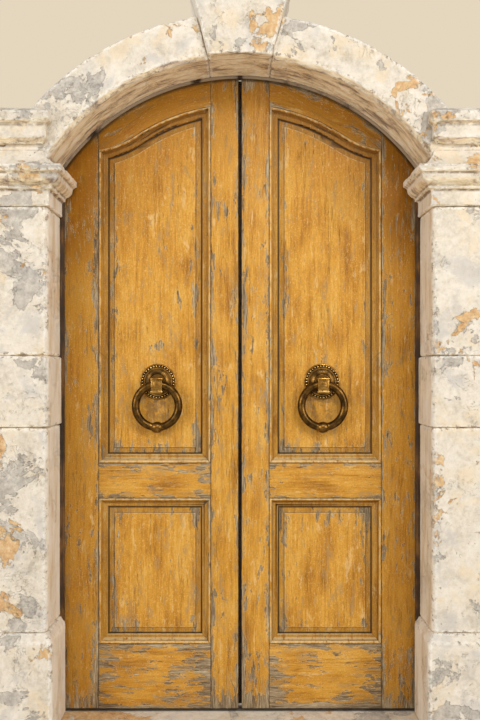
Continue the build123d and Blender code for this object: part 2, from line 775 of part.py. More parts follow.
def make_knocker_plate():
    """Round plate with its beaded rim and dome, cast in one with the post and the shank."""
    centre_z = sill_h + plate_z
    dome_r = dome_d / 2
    ball = (dome_r**2 + dome_rise**2) / (2 * dome_rise)
    crown_y = plate_rim_t + dome_rise
    boss_r = boss_d / 2
    middle_r = (dome_r + boss_r) / 2
    middle = (middle_r, crown_y - ball + sqrt(ball**2 - middle_r**2))
    boss_foot = (boss_r, crown_y - ball + sqrt(ball**2 - boss_r**2))
    boss_y = crown_y + boss_rise
    rim = plate_d / 2
    post_front = pivot_y - ring_wire_r - post_wall
    bore_edge = post_w / 2 + bore_past
    bore_r = ring_r - ring_wire_r - ring_clear
    bore_end = ring_r - sqrt(bore_r**2 - bore_edge**2)
    shank_y = tongue_back + washer_t + nut_t + shank_end
    with BuildPart() as plate:
        with BuildSketch(turned_plane(knocker_x, field_y, centre_z)):
            with BuildLine():
                Polyline((0, 0), (rim, 0), (rim, plate_edge_t), (rim - plate_edge_w, plate_rim_t),
                         (dome_r, plate_rim_t))
                ThreePointArc((dome_r, plate_rim_t), middle, boss_foot)
                Polyline(boss_foot, (boss_r - boss_taper, boss_y), (0, boss_y), (0, 0))
            make_face()
        revolve(axis=Axis((knocker_x, 0, centre_z), (0, -1, 0)))
        with BuildSketch(front_plane(field_y - plate_rim_t)):
            with Locations((knocker_x, centre_z)):
                with PolarLocations(bead_circle_d / 2, bead_count):
                    RegularPolygon(bead_foot_r, 6)
        extrude(amount=bead_h, taper=bead_taper)
        low, high = pivot_z - post_below, pivot_z + post_above
        shaft_w = post_w / 2 - band_proud
        with BuildSketch(front_plane(field_y)):
            bar(knocker_x - shaft_w, knocker_x + shaft_w, low, high)
        extrude(amount=field_y - post_front - band_proud)
        with BuildSketch(front_plane(field_y)):
            for foot in (low, high - band_h):
                bar(knocker_x - post_w / 2, knocker_x + post_w / 2, foot, foot + band_h)
        extrude(amount=field_y - post_front)
        post_edges = plate.faces().filter_by(Axis.Y).group_by(Axis.Y)[0].edges().filter_by(Axis.X)
        fillet([post_edges.sort_by(Axis.Z)[0], post_edges.sort_by(Axis.Z)[-1]], post_round)
        with BuildSketch(front_plane(post_front + band_proud)):
            with Locations((knocker_x, pivot_z + (post_above - post_below) / 2)):
                Rectangle(pad_w, pad_h)
        extrude(amount=pad_t)
        with BuildSketch(front_plane(shank_y)):
            with Locations((knocker_x, centre_z)):
                Circle(shank_r)
        extrude(amount=shank_y - field_y)
        with BuildSketch(Plane((knocker_x, pivot_y, pivot_z))):
            with BuildLine():
                Polyline((-bore_edge, bore_end), (-bore_edge, 0), (bore_edge, 0), (bore_edge, bore_end))
                ThreePointArc((bore_edge, bore_end), (0, ring_r - bore_r), (-bore_edge, bore_end))
            make_face()
        revolve(axis=Axis((knocker_x, pivot_y, pivot_z), (1, 0, 0)), mode=Mode.SUBTRACT)
    write_pair(plate.part, "knocker_plate")


def make_knocker_ring():
    with BuildPart() as ring:
        with Locations((knocker_x, pivot_y, pivot_z - ring_r)):
            Torus(ring_r, ring_wire_r, rotation=(90, 0, 0))
        ball_z = pivot_z - 2 * ring_r
        with BuildSketch(front_plane(pivot_y)):
            with Locations((knocker_x, ball_z)):
                Ellipse(ball_half_l, ball_r)
            bar(knocker_x - ball_half_l, knocker_x + ball_half_l, ball_z, ball_z + ball_r,
                mode=Mode.INTERSECT)
        revolve(axis=Axis((knocker_x, pivot_y, ball_z), (1, 0, 0)))
    write_pair(ring.part, "knocker_ring")


def make_knocker_nut():
    centre = (knocker_x, sill_h + plate_z)
    with BuildPart() as nut:
        with BuildSketch(front_plane(tongue_back + washer_t)):
            with Locations(centre):
                Circle(washer_r)
        extrude(amount=washer_t)
        with BuildSketch(front_plane(tongue_back + washer_t + nut_t)):
            with Locations(centre):
                RegularPolygon(nut_af / 2, 6, major_radius=False)
        extrude(amount=nut_t)
        with BuildSketch(front_plane(leaf_t)):
            with Locations(centre):
                Circle(shank_r + nut_clear)
        extrude(amount=leaf_t, mode=Mode.SUBTRACT)
    write_pair(nut.part, "knocker_nut")


# Hinges


def hinge_heights():
    step = (hinge_head - hinge_foot) / (hinge_count - 1)
    return [sill_h + hinge_foot + step * number for number in range(hinge_count)]


def hinge_half(side, knuckles):
    """Plates and knuckles of one half of each hinge. side is -1 towards the leaf, +1 towards the frame."""
    pitch = hinge_l / knuckle_count
    clear_x = knuckle_r + knuckle_gap + knuckle_relief
    with BuildPart() as half:
        for middle in hinge_heights():
            low = middle - hinge_l / 2
            far_x = hinge_x + side * (knuckle_r + hinge_plate_w)
            near_x = hinge_x + side * clear_x
            with BuildSketch(Plane.XY.offset(low)):
                bar(min(far_x, near_x), max(far_x, near_x), leaf_t, leaf_t + hinge_plate_t)
            extrude(amount=hinge_l)
            for number in knuckles:
                with BuildSketch(Plane.XY.offset(low + pitch * number + knuckle_gap / 2)):
                    bar(min(near_x, hinge_x), max(near_x, hinge_x), leaf_t + knuckle_stand - knuckle_r,
                        leaf_t + hinge_plate_t)
                    with Locations((hinge_x, hinge_y)):
                        Circle(knuckle_r)
                        Circle(pin_r + pin_clear, mode=Mode.SUBTRACT)
                extrude(amount=pitch - knuckle_gap)
    return half.part


def make_hinges():
    write_pair(hinge_half(1, range(0, knuckle_count, 2)), "hinge_frame_plates")
    write_pair(hinge_half(-1, range(1, knuckle_count, 2)), "hinge_leaf_plates")
    with BuildPart() as pins:
        for middle in hinge_heights():
            with BuildSketch(Plane.XY.offset(middle - hinge_l / 2)):
                with Locations((hinge_x, hinge_y)):
                    Circle(pin_r)
            extrude(amount=hinge_l)
            with BuildSketch(Plane.XY.offset(middle + hinge_l / 2)):
                with Locations((hinge_x, hinge_y)):
                    Circle(pin_head_r)
            extrude(amount=pin_head_t)
    write_pair(pins.part, "hinge_pins")


# Bolts on the inside


def bolt_plate(origin, along, length):
    """Plate with two guides. origin is the rod's end on the leaf's back face, along is its direction."""
    plane = Plane(origin, x_dir=along, z_dir=(0, 1, 0))
    bore = bolt_r + bolt_clear
    with BuildPart() as plate:
        with BuildSketch(plane):
            bar(guide_inset, length - guide_inset, -bolt_plate_w / 2, bolt_plate_w / 2)
        extrude(amount=bolt_plate_t)
        with BuildSketch(plane):
            bar(guide_inset, guide_inset + guide_l, -guide_w / 2, guide_w / 2)
            bar(length - guide_inset - guide_l, length - guide_inset, -guide_w / 2, guide_w / 2)
        extrude(amount=bolt_stand + bolt_r + guide_wall)
        across = Plane(plane.from_local_coords(Vector(0, 0, bolt_stand)), z_dir=along)
        with BuildSketch(across):
            Circle(bore)
        extrude(amount=length, mode=Mode.SUBTRACT)
    return plate.part


def bolt_rod(origin, along, length):
    """Round rod with a grip that stands out at its middle."""
    plane = Plane(origin, x_dir=along, z_dir=(0, 1, 0))
    with BuildPart() as rod:
        with BuildSketch(Plane(plane.from_local_coords(Vector(0, 0, bolt_stand)), z_dir=along)):
            Circle(bolt_r)
        extrude(amount=length)
        chamfer(rod.faces().filter_by(Plane(origin, z_dir=along)).edges(), bolt_bevel)
        with BuildSketch(Plane(plane.from_local_coords(Vector(length / 2, 0, bolt_stand)), z_dir=(0, 1, 0))):
            Circle(grip_r)
        extrude(amount=bolt_r + grip_l)
    return rod.part


def bolt_keeper(origin, along):
    """Block with the hole that a rod slides into."""
    plane = Plane(origin, x_dir=along, z_dir=(0, 1, 0))
    with BuildPart() as keeper:
        with BuildSketch(plane):
            bar(0, keeper_l, -bolt_plate_w / 2, bolt_plate_w / 2)
        extrude(amount=bolt_stand + bolt_r + guide_wall)
        with BuildSketch(Plane(plane.from_local_coords(Vector(0, 0, bolt_stand)), z_dir=along)):
            Circle(bolt_r + keeper_clear)
        extrude(amount=keeper_l, mode=Mode.SUBTRACT)
    return keeper.part


def make_bolts():
    up, left = (0, 0, 1), (-1, 0, 0)
    head_z = arch_height(leaf_r, bolt_x)
    top_origin = (-bolt_x, leaf_t, head_z - top_bolt_back - top_bolt_l)
    write(bolt_plate(top_origin, up, top_bolt_l), "left_top_bolt_plate")
    write(bolt_rod(top_origin, up, top_bolt_l), "left_top_bolt_rod")
    write(bolt_keeper((-bolt_x, leaf_t, head_z + top_keeper_rise), up), "top_bolt_keeper")
    foot_origin = (-bolt_x, leaf_t, leaf_low + foot_bolt_back)
    write(bolt_plate(foot_origin, up, foot_bolt_l), "left_foot_bolt_plate")
    write(bolt_rod(foot_origin, up, foot_bolt_l), "left_foot_bolt_rod")
    draw_z = (lock_rail_z + upper_panel_z) / 2
    draw_origin = (draw_bolt_back + draw_bolt_l, leaf_t, draw_z)
    write(bolt_plate(draw_origin, left, draw_bolt_l), "right_draw_bolt_plate")
    write(bolt_rod(draw_origin, left, draw_bolt_l), "right_draw_bolt_rod")
    write(bolt_keeper((-draw_bolt_back, leaf_t, draw_z), left), "draw_bolt_keeper")


os.makedirs("parts", exist_ok=True)
make_threshold()
make_plinth()
make_shafts()
make_capital()
make_impost()
make_arch_stone()
make_keystone()
make_frame()
make_hanging_stile()
make_meeting_stile()
make_rails()
make_panels()
make_lower_moulding()
make_upper_moulding()
make_knocker_plate()
make_knocker_ring()
make_knocker_nut()
make_hinges()
make_bolts()
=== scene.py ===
import math

import bmesh
import bpy
from mathutils import Matrix, Vector


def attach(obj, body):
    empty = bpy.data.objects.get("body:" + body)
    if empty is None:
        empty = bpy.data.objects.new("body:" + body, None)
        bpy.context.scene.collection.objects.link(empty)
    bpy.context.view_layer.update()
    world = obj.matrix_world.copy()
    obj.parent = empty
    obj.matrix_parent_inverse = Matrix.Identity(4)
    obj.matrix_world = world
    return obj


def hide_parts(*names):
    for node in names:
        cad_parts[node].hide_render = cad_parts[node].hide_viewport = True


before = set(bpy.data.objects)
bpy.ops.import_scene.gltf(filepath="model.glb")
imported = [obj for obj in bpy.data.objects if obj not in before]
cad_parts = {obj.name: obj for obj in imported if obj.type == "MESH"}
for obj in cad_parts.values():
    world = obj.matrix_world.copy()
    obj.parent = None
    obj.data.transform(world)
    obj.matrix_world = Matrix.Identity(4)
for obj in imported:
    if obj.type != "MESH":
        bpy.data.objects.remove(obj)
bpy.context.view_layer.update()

# Places and sizes of the door, in metres: x to the right, y away from the street, z up
SIDES = {"left": -1, "right": 1}
SILL = 0.140
BACK_Y = 0.058
FIELD_Y = 0.015
ARCH_CENTRE_Z, LEAF_ARCH_R = 1.911, 0.926
HINGE_X = 0.7575
BOLT_X = -0.062
KNOCKER_X, PLATE_Z, PIVOT_Y, PIVOT_Z = 0.350, 1.539, -0.0235, 1.528
RING_R, WIRE_R = 0.0905, 0.0165


# Writing node trees


class Graph:
    """Writes a node tree. An input may be a number, a tuple or another node's output."""

    def __init__(self, tree):
        self.tree = tree
        tree.nodes.clear()

    def feed(self, socket, value):
        if isinstance(value, bpy.types.NodeSocket):
            self.tree.links.new(value, socket)
        else:
            socket.default_value = value

    def node(self, kind, inputs=(), **settings):
        made = self.tree.nodes.new(kind)
        for name, value in settings.items():
            setattr(made, name, value)
        for key, value in dict(inputs).items():
            self.feed(made.inputs[key], value)
        return made

    def add(self, kind, inputs=(), out=0, **settings):
        return self.node(kind, inputs, **settings).outputs[out]

    def place(self):
        """Object coordinates."""
        return self.add("ShaderNodeTexCoord", out=3)

    def facing(self):
        """Direction that the surface faces."""
        return self.add("ShaderNodeNewGeometry", out=1)

    def stored(self, name, out=2):
        """What is stored on a piece under a name: out is 1 for a vector and 2 for a number."""
        return self.add("ShaderNodeAttribute", out=out, attribute_name=name)

    def split(self, value):
        """x, y and z of a vector."""
        return self.node("ShaderNodeSeparateXYZ", {0: value}).outputs

    def math(self, operation, a, b=0.0):
        return self.add("ShaderNodeMath", {0: a, 1: b}, operation=operation)

    def times(self, first, *others):
        for other in others:
            first = self.math("MULTIPLY", first, other)
        return first

    def less(self, a, b):
        return self.math("SUBTRACT", a, b)

    def larger(self, a, b):
        return self.math("MAXIMUM", a, b)

    def without_sign(self, value):
        return self.math("ABSOLUTE", value)

    def vector(self, operation, a, b=(0.0, 0.0, 0.0)):
        out = 1 if operation in ("LENGTH", "DOT_PRODUCT") else 0
        return self.add("ShaderNodeVectorMath", {0: a, 1: b}, out, operation=operation)

    def noise(self, place, scale=1.0, detail=5.0, rough=0.55, twist=0.0):
        return self.add("ShaderNodeTexNoise", {
            "Vector": place, "Scale": scale, "Detail": detail, "Roughness": rough,
            "Distortion": twist})

    def drawn_out(self, place, scales, *quality):
        """Noise with a scale of its own along each axis."""
        return self.noise(self.vector("MULTIPLY", place, scales), 1.0, *quality)

    def step(self, value, low, high, start=0.0, end=1.0):
        """Smooth step from start to end as value goes from low to high."""
        return self.add("ShaderNodeMapRange", {0: value, 1: low, 2: high, 3: start, 4: end},
                        interpolation_type="SMOOTHSTEP")

    def band(self, value, middle, half):
        """1 where value equals middle, falling to 0 at half on each side."""
        return self.step(self.without_sign(self.less(value, middle)), 0.0, half, 1.0, 0.0)

    def total(self, *terms):
        """Sum of (value, weight) pairs."""
        found = None
        for value, weight in terms:
            part = self.times(value, weight)
            found = part if found is None else self.math("ADD", found, part)
        return found

    def ramp(self, value, stops):
        """Colour ramp with stops of (position, red, green, blue), in screen levels."""
        made = self.node("ShaderNodeValToRGB", {"Fac": value})
        elements = made.color_ramp.elements
        while len(elements) < len(stops):
            elements.new(0.5)
        for element, (position, *levels) in zip(elements, stops):
            element.position = position
            element.color = srgb(*levels)
        return made.outputs[0]

    def mix(self, share, under, over, blend="MIX"):
        return self.add("ShaderNodeMix", {0: share, 6: under, 7: over}, 2, data_type="RGBA",
                        blend_type=blend)

    def stain(self, under, mask, strength, shade):
        """Lays a shade over a colour where mask is 1, as far as strength says."""
        return self.mix(self.times(mask, strength), under, shade)

    def bump(self, height, distance, normal=None):
        inputs = {"Height": height, "Distance": distance}
        if normal is not None:
            inputs["Normal"] = normal
        return self.add("ShaderNodeBump", inputs)


def srgb(*levels):
    """Colour written as 0 to 255 screen levels."""
    shares = [level / 255 for level in levels]
    return tuple(share / 12.92 if share <= 0.04045 else ((share + 0.055) / 1.055) ** 2.4
                 for share in shares) + (1.0,)


def new_material(name, **constants):
    """Material with a Principled shader whose constant sockets are set here."""
    material = bpy.data.materials.new(name)
    material.use_nodes = True
    graph = Graph(material.node_tree)
    output = graph.node("ShaderNodeOutputMaterial")
    shader = graph.node("ShaderNodeBsdfPrincipled")
    material.node_tree.links.new(shader.outputs[0], output.inputs[0])
    for socket, value in constants.items():
        shader.inputs[socket.replace("_", " ")].default_value = value
    return material, graph, shader


def coated(material, g, shader, colour, roughness, normal):
    """The material, with its colour, roughness and surface connected."""
    for socket, value in (("Base Color", colour), ("Roughness", roughness), ("Normal", normal)):
        g.feed(shader.inputs[socket], value)
    return material


def new_growth(name, sizes, takes_geometry=True):
    """Geometry Nodes tree, its graph and what the graph is given."""
    tree = bpy.data.node_groups.new(name, "GeometryNodeTree")
    taken = (("Geometry", "Geometry", None), *sizes) if takes_geometry else sizes
    for label, kind, value in taken:
        made = tree.interface.new_socket(label, in_out="INPUT", socket_type=f"NodeSocket{kind}")
        if value is not None:
            made.default_value = value
    tree.interface.new_socket("Geometry", in_out="OUTPUT", socket_type="NodeSocketGeometry")
    graph = Graph(tree)
    return tree, graph, graph.node("NodeGroupInput").outputs


def end_growth(g, instances, material):
    """Makes the instances real, gives them their material and hands them out."""
    plain = g.add("GeometryNodeRealizeInstances", {"Geometry": instances})
    finished = g.add("GeometryNodeSetMaterial", {"Geometry": plain, "Material": material})
    g.node("NodeGroupOutput", {0: finished})


# Stone finish

STONE_TONES = ((0.34, 190, 178, 160), (0.43, 212, 201, 184), (0.50, 225, 215, 199),
               (0.58, 234, 225, 211), (0.70, 241, 235, 226))
GREY_TONES = ((0.34, 138, 131, 124), (0.46, 170, 163, 155), (0.58, 196, 189, 179),
              (0.72, 230, 222, 208))
OCHRE_TONES = ((0.34, 180, 130, 72), (0.46, 210, 160, 94), (0.58, 222, 186, 130),
               (0.72, 238, 224, 198))
# Tones of the painted light on the reveals and of the painted warm shade on faces that look down
REVEAL_LIGHT_TONES = ((0.38, 216, 196, 164), (0.48, 240, 229, 210), (0.58, 248, 242, 232))
UNDERSIDE_SHADE_TONES = ((0.38, 136, 112, 96), (0.45, 208, 184, 150), (0.52, 240, 220, 182),
                   (0.60, 250, 241, 220))
COOL_WASH, WARM_WASH = srgb(200, 195, 190), srgb(232, 210, 174)
RIM_BROWN, SPECK_BROWN, CRACK_BROWN = srgb(104, 86, 66), srgb(116, 102, 86), srgb(92, 76, 58)
# Colours of painted shade and dirt in hollows, of rubbed arrises with a painted highlight, of
# chips, and of painted shade under the leaves
HOLLOW_SHADE_AND_DIRT, WORN_PALE_AND_HIGHLIGHT, CHIPPED_BROWN = srgb(122, 100, 76), srgb(247, 243, 234), srgb(132, 104, 74)
UNDER_LEAF_SHADE_BROWN = srgb(66, 52, 38)
GREY_EDGE, OCHRE_EDGE = (0.762, 0.774), (0.796, 0.808)
GREY_RIM, OCHRE_RIM, RIM_HALF = 0.766, 0.800, 0.006
# The threshold's strip under the closed leaves, painted in shade: middle and half of its width
LEAF_STRIP_Y, LEAF_STRIP_HALF = 0.027, 0.038


def limewashed_stone():
    """Pale stone under old limewash, fallen away in grey and ochre patches."""
    material, g, shader = new_material("limewashed_stone")
    place = g.place()
    _, y, z = g.split(place)
    facing_x, _, up = g.split(g.facing())
    hollow = g.stored("hollow")
    broad = g.noise(place, 2.4, 4)
    cloud = g.noise(place, 9.0, 9, 0.66, 0.5)
    grain = g.noise(place, 55.0, 8, 0.7)
    fine = g.noise(place, 210.0, 4, 0.7)
    base = g.ramp(g.total((cloud, 0.58), (grain, 0.42)), STONE_TONES)
    wash = g.noise(place, 7.0, 6, 0.6, 0.4)
    base = g.mix(g.step(wash, 0.53, 0.64, 0.0, 0.60), base, COOL_WASH)
    base = g.mix(g.step(wash, 0.47, 0.36, 0.0, 0.50), base, WARM_WASH)

    # Patches, with more grey ones on the arch
    grey_place = g.vector("ADD", place, (3.7, 1.9, 5.3))
    grey_field = g.total((g.noise(grey_place, 4.8, 12, 0.66, 0.35), 1.0), (broad, 0.35),
                         (g.step(z, 2.36, 2.60), 0.030))
    grey = g.step(grey_field, *GREY_EDGE)
    grey_tone = g.ramp(g.noise(grey_place, 34.0, 8, 0.70), GREY_TONES)
    ochre_place = g.vector("ADD", place, (9.1, 4.4, 2.2))
    ochre_field = g.total((g.noise(ochre_place, 5.2, 12, 0.66, 0.35), 1.0),
                          (g.noise(ochre_place, 1.9, 3), 0.4))
    ochre = g.step(ochre_field, *OCHRE_EDGE)
    ochre_tone = g.ramp(g.noise(ochre_place, 40.0, 8, 0.68), OCHRE_TONES)
    colour = g.stain(base, grey, 0.76, grey_tone)
    colour = g.stain(colour, ochre, 0.82, ochre_tone)
    rims = g.larger(g.band(grey_field, GREY_RIM, RIM_HALF),
                    g.band(ochre_field, OCHRE_RIM, RIM_HALF))
    broken = g.step(g.noise(place, 62.0, 6, 0.72), 0.49, 0.56)
    colour = g.stain(colour, g.times(rims, broken), 0.8, RIM_BROWN)

    # Specks and cracks
    specks = g.step(g.noise(place, 75.0, 9, 0.75), 0.635, 0.67)
    colour = g.stain(colour, specks, 0.55, SPECK_BROWN)
    crack_field = g.noise(g.vector("ADD", place, (1.3, 7.7, 4.1)), 11.0, 9, 0.70, 1.2)
    cracks = g.times(g.band(crack_field, 0.5, 0.004),
                     g.step(g.noise(place, 5.2, 4), 0.52, 0.60))
    colour = g.stain(colour, cracks, 0.8, CRACK_BROWN)

    # Painted light on the reveals' sideways faces, and painted warm shade in streaks on faces that
    # look down, under the arch and the mouldings
    reveal_painted_light = g.ramp(g.drawn_out(place, (14.0, 14.0, 3.0), 8, 0.68), REVEAL_LIGHT_TONES)
    colour = g.mix(g.step(g.without_sign(facing_x), 0.70, 0.92, 0.0, 0.72), colour, reveal_painted_light)
    # Painted warm shade: faces that look down take these streaky tones
    under = g.step(g.total((g.times(up, -1.0), 1.0), (cloud, 0.35)), 0.40, 0.78)
    downward_shade_tone = g.ramp(g.drawn_out(place, (9.0, 27.0, 9.0), 9, 0.72, 0.5), UNDERSIDE_SHADE_TONES)
    colour = g.stain(colour, under, 0.88, downward_shade_tone)

    # Painted shade and dirt in hollows, worn arrises with a painted highlight, chipped arrises,
    # painted shade under the leaves
    hollow_shade_and_dirt = g.times(g.step(hollow, 0.10, 0.60), g.step(g.noise(place, 26.0, 8, 0.72), 0.38, 0.56))
    colour = g.stain(colour, hollow_shade_and_dirt, 0.85, HOLLOW_SHADE_AND_DIRT)
    # Convex arrises paler: rubbed limewash and a painted highlight
    pale = g.times(g.step(hollow, -0.15, -0.75), g.step(grain, 0.40, 0.55))
    colour = g.stain(colour, pale, 0.6, WORN_PALE_AND_HIGHLIGHT)
    chipped = g.times(g.step(hollow, -0.12, -0.6),
                      g.step(g.noise(place, 30.0, 7, 0.74), 0.56, 0.60))
    colour = g.stain(colour, chipped, 0.7, CHIPPED_BROWN)
    # Painted shade on the threshold under the closed leaves
    under_leaf_shade = g.times(g.band(y, LEAF_STRIP_Y, LEAF_STRIP_HALF), g.band(z, SILL, 0.010))
    colour = g.mix(g.step(under_leaf_shade, 0.0, 0.25, 0.0, 0.85), colour, UNDER_LEAF_SHADE_BROWN)

    layers = g.total((grey, -1.0), (ochre, -1.0), (cracks, -0.8), (specks, -0.7))
    normal = g.bump(layers, 0.0018)
    normal = g.bump(g.total((grain, 1.0), (fine, 0.35)), 0.0024, normal)
    return coated(material, g, shader, colour, g.step(cloud, 0.3, 0.7, 0.96, 0.80), normal)


# Painted wood finish

PAINT_TONES = ((0.36, 146, 94, 24), (0.44, 184, 126, 36), (0.51, 206, 148, 50),
               (0.58, 220, 166, 72), (0.68, 232, 192, 116))
BARE_TONES = ((0.39, 88, 70, 50), (0.46, 130, 110, 84), (0.53, 164, 144, 114),
              (0.61, 206, 188, 154))
MOTTLE_BROWN, MOTTLE_PALE = srgb(176, 124, 48), srgb(236, 198, 124)
SCUFF_PALE, SMUDGE_BROWN = srgb(228, 196, 138), srgb(168, 136, 92)
HANDLED_BROWN, RUBBED_BROWN = srgb(112, 86, 56), srgb(158, 132, 94)
# Flake edges: a painted highlight on the paint and a painted shadow on the bare wood
FLAKE_LIT, FLAKE_EDGE_SHADOW, SPLIT_BROWN = srgb(232, 206, 156), srgb(62, 44, 26), srgb(92, 58, 22)
FLECK_BROWN, FLECK_PALE = srgb(112, 88, 58), srgb(238, 212, 160)
# Ridges: rubbed paint with a painted highlight; faces that look up: painted light; joints: grime;
# crevices: painted shade
RIDGE_WEAR_AND_HIGHLIGHT, TOP_LIT_PALE, JOINT_GRIME_AND_SHADE = srgb(230, 200, 146), srgb(234, 208, 156), srgb(48, 31, 15)
# Tints of the painted shadow of the arch and jambs, with soot, and of the painted shade on
# undersides
ARCH_SHADE_AND_SOOT_TINT, SHADE_TINT = (0.50, 0.39, 0.08, 1.0), (0.52, 0.40, 0.24, 1.0)
PAINT_ROUGH, BARE_ROUGH = (0.52, 0.52, 0.52, 1.0), (0.86, 0.86, 0.86, 1.0)
BARE_EDGE = (0.846, 0.860)
# Each board stores how worn it is. The paint also knows panels and mouldings by these values.
UPPER_PANEL_WEAR, LOWER_PANEL_WEAR, MOULDING_WEAR = -0.045, -0.040, -0.075
# Marks round each knocker's axis: height, half width and half height
HAND_MARK, STRUCK_MARK = (1.440, 0.085, 0.085), (1.660, 0.060, 0.090)


def ochre_paint():
    """Old ochre paint on wood, cracked along the grain, worn to grey wood at the boards' edges."""
    material, g, shader = new_material("ochre_painted_wood", Specular_IOR_Level=0.25)
    place = g.place()
    x, y, z = g.split(place)
    board, size, shift = (g.stored(name, 1) for name in ("board", "board_size", "board_shift"))
    arris, crevice = g.stored("arris"), g.stored("crevice")
    across, along, _ = g.split(board)
    half_across, half_along, wear = g.split(size)
    on_board = g.vector("ADD", board, shift)
    off_centre = g.without_sign(x)

    def grained(across_scale, along_scale, *quality):
        """Noise with its own scales across and along the grain."""
        return g.drawn_out(on_board, (across_scale, along_scale, across_scale), *quality)

    def around_knocker(height, wide, tall):
        """1 on the knocker's axis at a height, falling to 0 on an ellipse round it."""
        offset = g.add("ShaderNodeCombineXYZ", {
            0: g.math("DIVIDE", g.less(off_centre, KNOCKER_X), wide),
            1: g.math("DIVIDE", g.less(z, height), tall)})
        return g.step(g.vector("LENGTH", offset), 1.0, 0.35)

    # Paint, its mottling and its scuffs
    hair = grained(330.0, 16.0, 6, 0.68)
    streak = grained(75.0, 4.2, 6, 0.62)
    blotch = grained(11.0, 5.0, 6, 0.6)
    paint = g.ramp(g.total((hair, 0.22), (streak, 0.36), (blotch, 0.42)), PAINT_TONES)
    mottle = g.noise(on_board, 160.0, 4, 0.7)
    paint = g.mix(g.step(mottle, 0.53, 0.68, 0.0, 0.40), paint, MOTTLE_BROWN)
    paint = g.mix(g.step(mottle, 0.47, 0.32, 0.0, 0.40), paint, MOTTLE_PALE)
    scuff_field = grained(30.0, 8.0, 8, 0.7, 0.3)
    paint = g.stain(paint, g.step(scuff_field, 0.575, 0.66), 0.55, SCUFF_PALE)
    paint = g.stain(paint, g.step(scuff_field, 0.455, 0.360), 0.60, SMUDGE_BROWN)

    # Painted shadow under the arch and beside the jambs, mottled with soot, and hand marks inside
    # the rings
    rise = g.larger(g.less(z, ARCH_CENTRE_Z), 0.0)
    round_arch = g.math("SQRT", g.math("ADD", g.math("POWER", x, 2.0), g.math("POWER", rise, 2.0)))
    overhead = g.times(g.step(round_arch, 0.36, 0.90), g.step(rise, 0.0, 0.30))
    arch_shade_and_soot = g.total((g.step(off_centre, 0.50, 0.76), 0.43), (overhead, 0.68),
                   (g.less(blotch, 0.5), 1.1), (g.less(streak, 0.5), 0.6))
    paint = g.mix(g.step(arch_shade_and_soot, -0.05, 1.05), paint, ARCH_SHADE_AND_SOOT_TINT, "MULTIPLY")
    handled = g.times(around_knocker(*HAND_MARK), g.step(y, 0.030, 0.025),
                      g.step(g.noise(place, 34.0, 7, 0.68), 0.42, 0.56))
    paint = g.stain(paint, handled, 0.62, HANDLED_BROWN)

    # Places that wear: boards' edges and ends, the leaves' feet, round the knockers
    side = g.without_sign(g.less(half_across, g.without_sign(across)))
    end = g.without_sign(g.less(half_along, g.without_sign(along)))
    panel = g.band(wear, (UPPER_PANEL_WEAR + LOWER_PANEL_WEAR) / 2, 0.02)
    panel_foot = g.times(panel, g.step(z, 1.15, 1.18), g.step(z, 1.34, 1.24))
    edges = g.total((g.step(side, 0.034, 0.0), 0.115), (g.step(end, 0.10, 0.0), 0.075),
                    (g.step(z, 0.62, 0.16), 0.055), (g.step(z, 0.26, 0.15), 0.045),
                    (panel_foot, 0.080), (around_knocker(*STRUCK_MARK), 0.16), (wear, 1.0))
    cluster = grained(7.0, 3.0, 3)
    rubbed_field = g.total((grained(17.0, 5.5, 9, 0.68, 0.5), 1.0), (cluster, 0.40), (edges, 1.15))
    rubbed = g.times(g.step(rubbed_field, 0.80, 0.90),
                     g.step(g.total((hair, 0.5), (streak, 0.5)), 0.44, 0.54))
    paint = g.stain(paint, rubbed, 0.62, RUBBED_BROWN)

    # Flakes gone to bare wood, with a painted highlight on the paint's edge and a painted shadow
    # just inside it
    bare_field = g.math("ADD", g.total((grained(46.0, 10.5, 9, 0.68, 0.4), 1.0), (cluster, 0.42)),
                        edges)
    bare = g.step(bare_field, *BARE_EDGE)
    wood = g.ramp(g.total((hair, 0.6), (streak, 0.4)), BARE_TONES)
    colour = g.mix(bare, paint, wood)
    colour = g.stain(colour, g.band(bare_field, 0.834, 0.010), 0.6, FLAKE_LIT)
    # Painted shadow of the paint's edge on the bare wood
    dark = g.times(g.band(bare_field, 0.856, 0.011),
                   g.step(g.noise(on_board, 120.0, 5, 0.7), 0.42, 0.56))
    colour = g.stain(colour, dark, 0.85, FLAKE_EDGE_SHADOW)

    # Cracks, flecks, ridges rubbed and with a painted highlight, painted light on faces that look
    # up, and painted shade on undersides
    cracks = g.times(g.band(grained(62.0, 1.9, 5, 0.6), 0.5, 0.010),
                     g.step(grained(14.0, 3.0, 4), 0.50, 0.58))
    colour = g.stain(colour, cracks, 0.62, SPLIT_BROWN)
    fleck_field = grained(210.0, 62.0, 6, 0.72)
    flecks = g.step(fleck_field, 0.600, 0.640)
    colour = g.stain(colour, flecks, 0.60, FLECK_BROWN)
    colour = g.stain(colour, g.step(fleck_field, 0.395, 0.350), 0.45, FLECK_PALE)
    # Ridges paler: rubbed paint and a painted highlight
    ridge = g.times(arris, g.step(grained(60.0, 20.0, 6, 0.7), 0.44, 0.58))
    colour = g.stain(colour, ridge, 0.60, RIDGE_WEAR_AND_HIGHLIGHT)
    upward = g.split(g.facing())[2]
    # Painted light: faces that look up are paler
    upward_painted_light = g.times(g.step(upward, 0.12, 0.60), g.step(streak, 0.32, 0.50))
    colour = g.stain(colour, upward_painted_light, 0.75, TOP_LIT_PALE)
    colour = g.mix(g.step(upward, -0.12, -0.60, 0.0, 0.55), colour, SHADE_TINT, "MULTIPLY")

    # Grime in joints and mitres, painted shade in crevices, and a painted shadow along the arched
    # edge
    joint = g.larger(g.step(side, 0.0034, 0.0012), g.step(end, 0.0034, 0.0012))
    joint = g.times(joint, g.less(1.0, panel), g.step(g.noise(on_board, 46.0, 6, 0.7), 0.34, 0.50))
